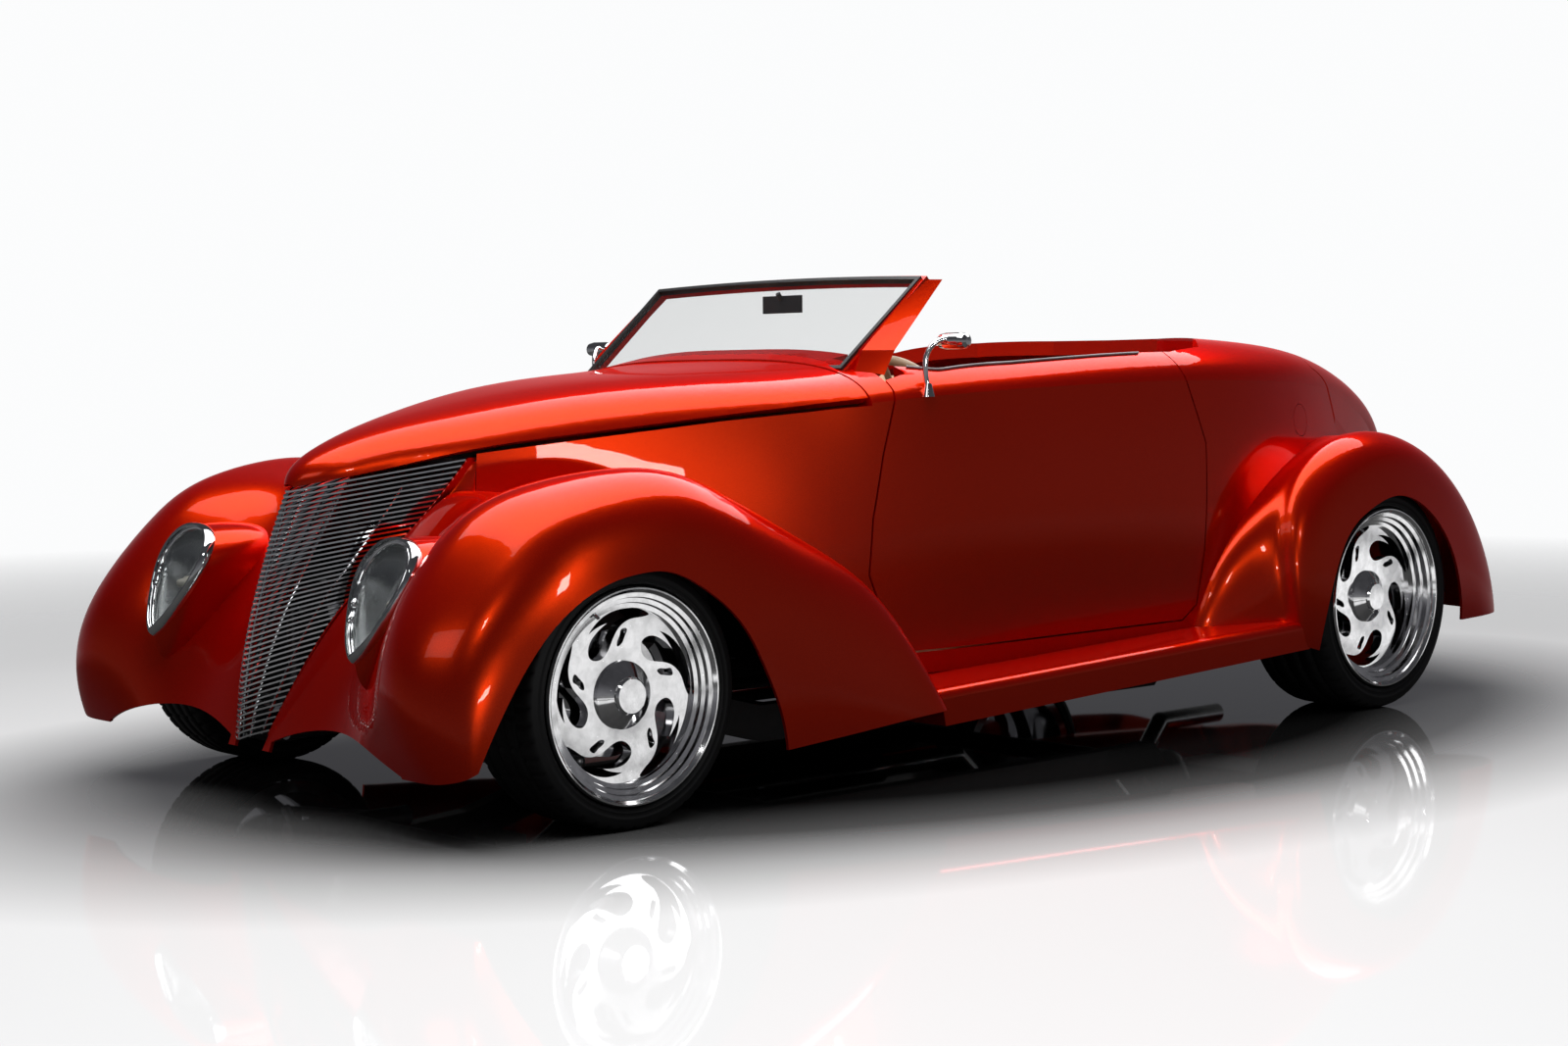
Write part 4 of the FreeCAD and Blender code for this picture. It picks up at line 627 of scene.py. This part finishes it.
# Lamps: a bulb inside each headlamp and a polished ring round its lens
BULB_INSET = 0.075
BULB_PROFILE = [(0.0001, 0.0), (0.016, 0.0), (0.016, 0.014), (0.012, 0.018), (0.009, 0.034), (0.0001, 0.040)]
RING_R = 0.0065
RING_STEPS = 48
RING_DEPTH = 0.02


def lamp_bulb(side):
    """A bulb that stands on the bowl, straight behind the lens."""
    sign = 1 if side == "left" else -1
    low, high = (Vector(c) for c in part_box("headlamp_reflectors"))
    start = Vector((sign * (abs(high.x) - BULB_INSET), low.y - 0.5, (low.z + high.z) / 2))
    foot = tree_of("headlamp_reflectors").ray_cast(start, Vector((0, 1, 0)), 1.5)[0]
    obj = lathe("headlamp_bulb_" + side, BULB_PROFILE, (0, 0, 0), 24)
    for vert in obj.data.vertices:
        axial, a, b = vert.co
        vert.co = foot + Vector((a, -axial, b))
    return add_piece(obj, "ivory", "body")


def lamp_ring(side):
    """A polished ring through the outermost points of the lens."""
    sign = 1 if side == "left" else -1
    points = [v.co.copy() for v in NODES["headlamp_lenses"].data.vertices if v.co.x * sign > 0]
    middle = sum(points, Vector()) / len(points)
    low = min(points, key=lambda p: p.z)
    high = max(points, key=lambda p: p.z)
    up = (high - low).normalized()
    wide = max(points, key=lambda p: abs((p - middle).cross(up).length))
    normal = up.cross(wide - middle).normalized()
    if normal.y > 0:
        normal = -normal
    across = up.cross(normal)
    front = max((p - middle).dot(normal) for p in points)
    best = {}
    for p in points:
        d = p - middle
        if d.dot(normal) < front - RING_DEPTH:
            continue
        a, b = d.dot(across), d.dot(up)
        key = int((math.atan2(a, b) / (2 * math.pi) + 1.0) * RING_STEPS) % RING_STEPS
        if key not in best or a * a + b * b > best[key][0]:
            best[key] = (a * a + b * b, p)
    ring = [best[k][1] for k in sorted(best)]
    obj = tube_path("headlamp_ring_" + side, ring, RING_R, 6, True)
    return add_piece(obj, "chrome", "body")


for side in ("left", "right"):
    lamp_bulb(side)
for side in ("left", "right"):
    lamp_ring(side)


# Nose: a small painted panel that closes the corner between the grille's edge and the nose side
CORNER_Z = (0.700, 0.812)
CORNER_T = 0.005


def nose_corner(side):
    """Rows from the strip's rear edge to the panel's front edge, both found by rays from the side."""
    sign = 1 if side == "left" else -1
    strip, panel = tree_of("grille_shell"), tree_of("nose_sides")
    inward = Vector((-sign, 0, 0))
    rows = []
    for z in spread(*CORNER_Z, 13):
        ends = []
        for tree, start, step in ((strip, FRONT_Y + 0.010, -0.0015), (panel, FRONT_Y - 0.030, 0.0015)):
            for k in range(90):
                hit = tree.ray_cast(Vector((sign * 0.5, start + step * k, z)), inward, 0.35)[0]
                if hit is not None:
                    ends.append(hit)
                    break
        if len(ends) == 2 and ends[0].y < ends[1].y:
            rows.append([ends[0].lerp(ends[1], j / 6) + inward * 0.003 for j in range(7)])
    return skinned_grid("nose_corner_" + side, rows, CORNER_T, "candy_paint", "body")


for side in ("left", "right"):
    nose_corner(side)


# Camera, light and floor
CAMERA_PLACE = (5.0301, -5.0610, 0.9888)
CAMERA_ANGLES = (47.2, 3.3, -0.5)
FOCAL_PIXELS, PHOTO_WIDTH, SENSOR = 2533.15, 1600.0, 36.0


def set_camera():
    """The photograph's camera: azimuth, elevation and roll, and a focal length in its pixels."""
    azimuth, elevation, roll = (math.radians(angle) for angle in CAMERA_ANGLES)
    back = Vector((math.sin(azimuth) * math.cos(elevation), -math.cos(azimuth) * math.cos(elevation),
                   math.sin(elevation)))
    right = (-back).cross(Vector((0, 0, 1))).normalized()
    up = right.cross(-back)
    turned_right = right * math.cos(roll) + up * math.sin(roll)
    turned_up = up * math.cos(roll) - right * math.sin(roll)
    data = bpy.data.cameras.new("camera")
    data.sensor_width = SENSOR
    data.sensor_fit = "HORIZONTAL"
    data.lens = SENSOR * FOCAL_PIXELS / PHOTO_WIDTH
    data.clip_end = 100.0
    camera = bpy.data.objects.new("camera", data)
    bpy.context.scene.collection.objects.link(camera)
    basis = Matrix((turned_right, turned_up, back)).transposed().to_4x4()
    basis.translation = Vector(CAMERA_PLACE)
    camera.matrix_world = basis
    bpy.context.scene.camera = camera


def area_light(name, place, target, size, radiance, lit, fills=True):
    """A soft panel of a given radiance; one that doesn't fill shows only in gloss."""
    data = bpy.data.lights.new(name, "AREA")
    data.shape = "RECTANGLE"
    data.size, data.size_y = size
    data.energy = radiance * math.pi * size[0] * size[1]
    light = bpy.data.objects.new(name, data)
    bpy.context.scene.collection.objects.link(light)
    light.location = place
    aim = Vector(target) - Vector(place)
    light.rotation_euler = aim.to_track_quat("-Z", "Y").to_euler()
    light.visible_camera = False
    light.visible_diffuse = fills
    light.light_linking.receiver_collection = lit
    return light


def lit_group(name, floor, state):
    """A light group that holds the floor, as the only thing lit or as the only thing left out."""
    group = bpy.data.collections.new(name)
    group.objects.link(floor)
    group.collection_objects[0].light_linking.link_state = state
    return group


# Painted shadow on the floor: its colour goes nearly black in an ellipse of these half widths round the
# car's middle, and pales outwards
SHADOW_HALF_WIDTH = 2.15
SHADOW_HALF_LENGTH = 3.45
FLOOR_HALF = 40
FADE_START, FADE_END = 3.5, 9.0
PAINTED_SHADOW_STOPS = [(0.0, 0.004), (0.50, 0.006), (0.64, 0.10), (0.78, 0.50), (0.95, 0.86)]
# Painted shade in the floor that reflections and bounced light see: dim overall, darkest near the car, paler
# from FADE_START outwards
REFLECTED_FLOOR_SHADE_STOPS = [(0.0, 0.05), (0.12, 0.10), (0.45, 0.24)]
ROOM_STOPS = [(0.0, (0.17, 0.17, 0.18)), (0.10, (0.12, 0.12, 0.13)), (0.35, (0.05, 0.05, 0.055)),
              (1.0, (0.05, 0.05, 0.055))]


def grey(stops):
    return [(place, (shade, shade, shade)) for place, shade in stops]


def distance(tree, scale):
    """Distance from the middle of the car, with each axis scaled."""
    scaled = node(tree, "ShaderNodeVectorMath", operation="MULTIPLY")
    scaled.inputs[1].default_value = scale
    tree.links.new(coords(tree), scaled.inputs[0])
    length = node(tree, "ShaderNodeVectorMath", operation="LENGTH")
    tree.links.new(scaled.outputs[0], length.inputs[0])
    return length.outputs["Value"]


def by_camera(tree, unseen, seen, target):
    """What the camera sees itself and what shows in reflections, told apart by the kind of ray."""
    mix = node(tree, "ShaderNodeMixShader")
    tree.links.new(tree.nodes.new("ShaderNodeLightPath").outputs["Is Camera Ray"], mix.inputs[0])
    tree.links.new(unseen.outputs[0], mix.inputs[1])
    tree.links.new(seen.outputs[0], mix.inputs[2])
    tree.links.new(mix.outputs[0], target)


def make_floor():
    """A pale floor with a painted shadow, dark under the car, that fades out; reflections see a dimmer copy
    with painted shade, darker near the car.
    """
    size = FLOOR_HALF
    corners = [(-size, -size, 0), (size, -size, 0), (size, size, 0), (-size, size, 0)]
    floor = new_object("floor", corners, [(0, 1, 2, 3)], False)
    mat, tree, bsdf = material("floor")
    bsdf.inputs["Roughness"].default_value = 0.03
    # Painted shadow: the floor's own colour darkens towards the car's middle
    painted_shadow = distance(tree, (1 / SHADOW_HALF_WIDTH, 1 / SHADOW_HALF_LENGTH, 0.0))
    tree.links.new(ramp(tree, painted_shadow, grey(PAINTED_SHADOW_STOPS)), bsdf.inputs["Base Color"])
    fade = node(tree, "ShaderNodeMapRange")
    fade.inputs["From Min"].default_value = FADE_START
    fade.inputs["From Max"].default_value = FADE_END
    tree.links.new(distance(tree, (1.0, 1.0, 1.0)), fade.inputs["Value"])
    # Dim copy of the floor for every ray but the camera's: painted shade, darker near the car
    dim = node(tree, "ShaderNodeBsdfDiffuse")
    tree.links.new(ramp(tree, fade.outputs["Result"], grey(REFLECTED_FLOOR_SHADE_STOPS)), dim.inputs["Color"])
    clear = node(tree, "ShaderNodeBsdfTransparent")
    mix = node(tree, "ShaderNodeMixShader")
    by_camera(tree, dim, bsdf, mix.inputs[1])
    tree.links.new(fade.outputs["Result"], mix.inputs[0])
    tree.links.new(clear.outputs[0], mix.inputs[2])
    tree.links.new(mix.outputs[0], tree.nodes["Material Output"].inputs["Surface"])
    floor.data.materials.append(mat)
    return floor


def make_room():
    """White paper behind the car for the camera, and a dim studio for light and reflections."""
    world = bpy.data.worlds.new("studio")
    bpy.context.scene.world = world
    world.use_nodes = True
    tree = world.node_tree
    room = tree.nodes["Background"]
    split = node(tree, "ShaderNodeSeparateXYZ")
    tree.links.new(tree.nodes.new("ShaderNodeTexCoord").outputs["Generated"], split.inputs[0])
    tree.links.new(ramp(tree, split.outputs["Z"], ROOM_STOPS), room.inputs["Color"])
    paper = node(tree, "ShaderNodeBackground")
    paper.inputs["Color"].default_value = (0.97, 0.975, 0.98, 1)
    by_camera(tree, room, paper, tree.nodes["World Output"].inputs["Surface"])


# Panels over the car, then small bright ones that show only in gloss: place, target, size and radiance
FILL_PANELS = {
    "top": ((0.0, 0.5, 3.3), (0.0, 0.5, 0), (3.0, 6.4), 3.6),
    "front": ((1.2, -5.6, 3.6), (0, -1.2, 0.5), (2.6, 1.2), 1.6),
}
STRIPS = {
    "strip_low": ((4.30, -2.05, 0.66), (0.38, -1.33, 0.80), (0.70, 0.11), 36.0),
    "strip_high": ((3.93, -0.65, 1.71), (0.84, -1.83, 0.57), (0.17, 0.30), 40.0),
    "strip_front": ((3.05, -3.31, 2.82), (0.80, -2.01, 0.48), (0.20, 0.26), 40.0),
}
RIM_PANELS = [(1.75, 0.45), (2.6, 0.85), (4.0, 1.1)]
RIM_PANEL_Z, RIM_PANEL_LENGTH, RIM_PANEL_RADIANCE = 0.012, 9.0, 0.9


def set_stage():
    """Floor, room, soft panels for the car, low panels that only the polished rims mirror, floor light."""
    floor = make_floor()
    make_room()
    car = lit_group("car_lights", floor, "EXCLUDE")
    ground = lit_group("floor_lights", floor, "INCLUDE")
    for name, panel in FILL_PANELS.items():
        area_light(name, *panel, car)
    for name, panel in STRIPS.items():
        area_light(name, *panel, car, False)
    rims = bpy.data.collections.new("rim_lights")
    for end, side in WHEELS:
        rims.objects.link(NODES[f"rim_{end}_{side}"])
    for number, (x, width) in enumerate(RIM_PANELS):
        place, size = (x, 2.0, RIM_PANEL_Z), (width, RIM_PANEL_LENGTH)
        area_light(f"rim_panel_{number}", place, (x, 2.0, 1.0), size, RIM_PANEL_RADIANCE, rims)
    area_light("rim_high", (5.5, 3.5, 2.2), (0.8, -0.4, 0.3), (3.0, 0.7), 3.0, rims)
    area_light("floor_light", (0, 0, 6.0), (0, 0, 0), (12.0, 12.0), 2.9, ground)


set_camera()
set_stage()
bpy.context.scene.view_settings.view_transform = "Standard"
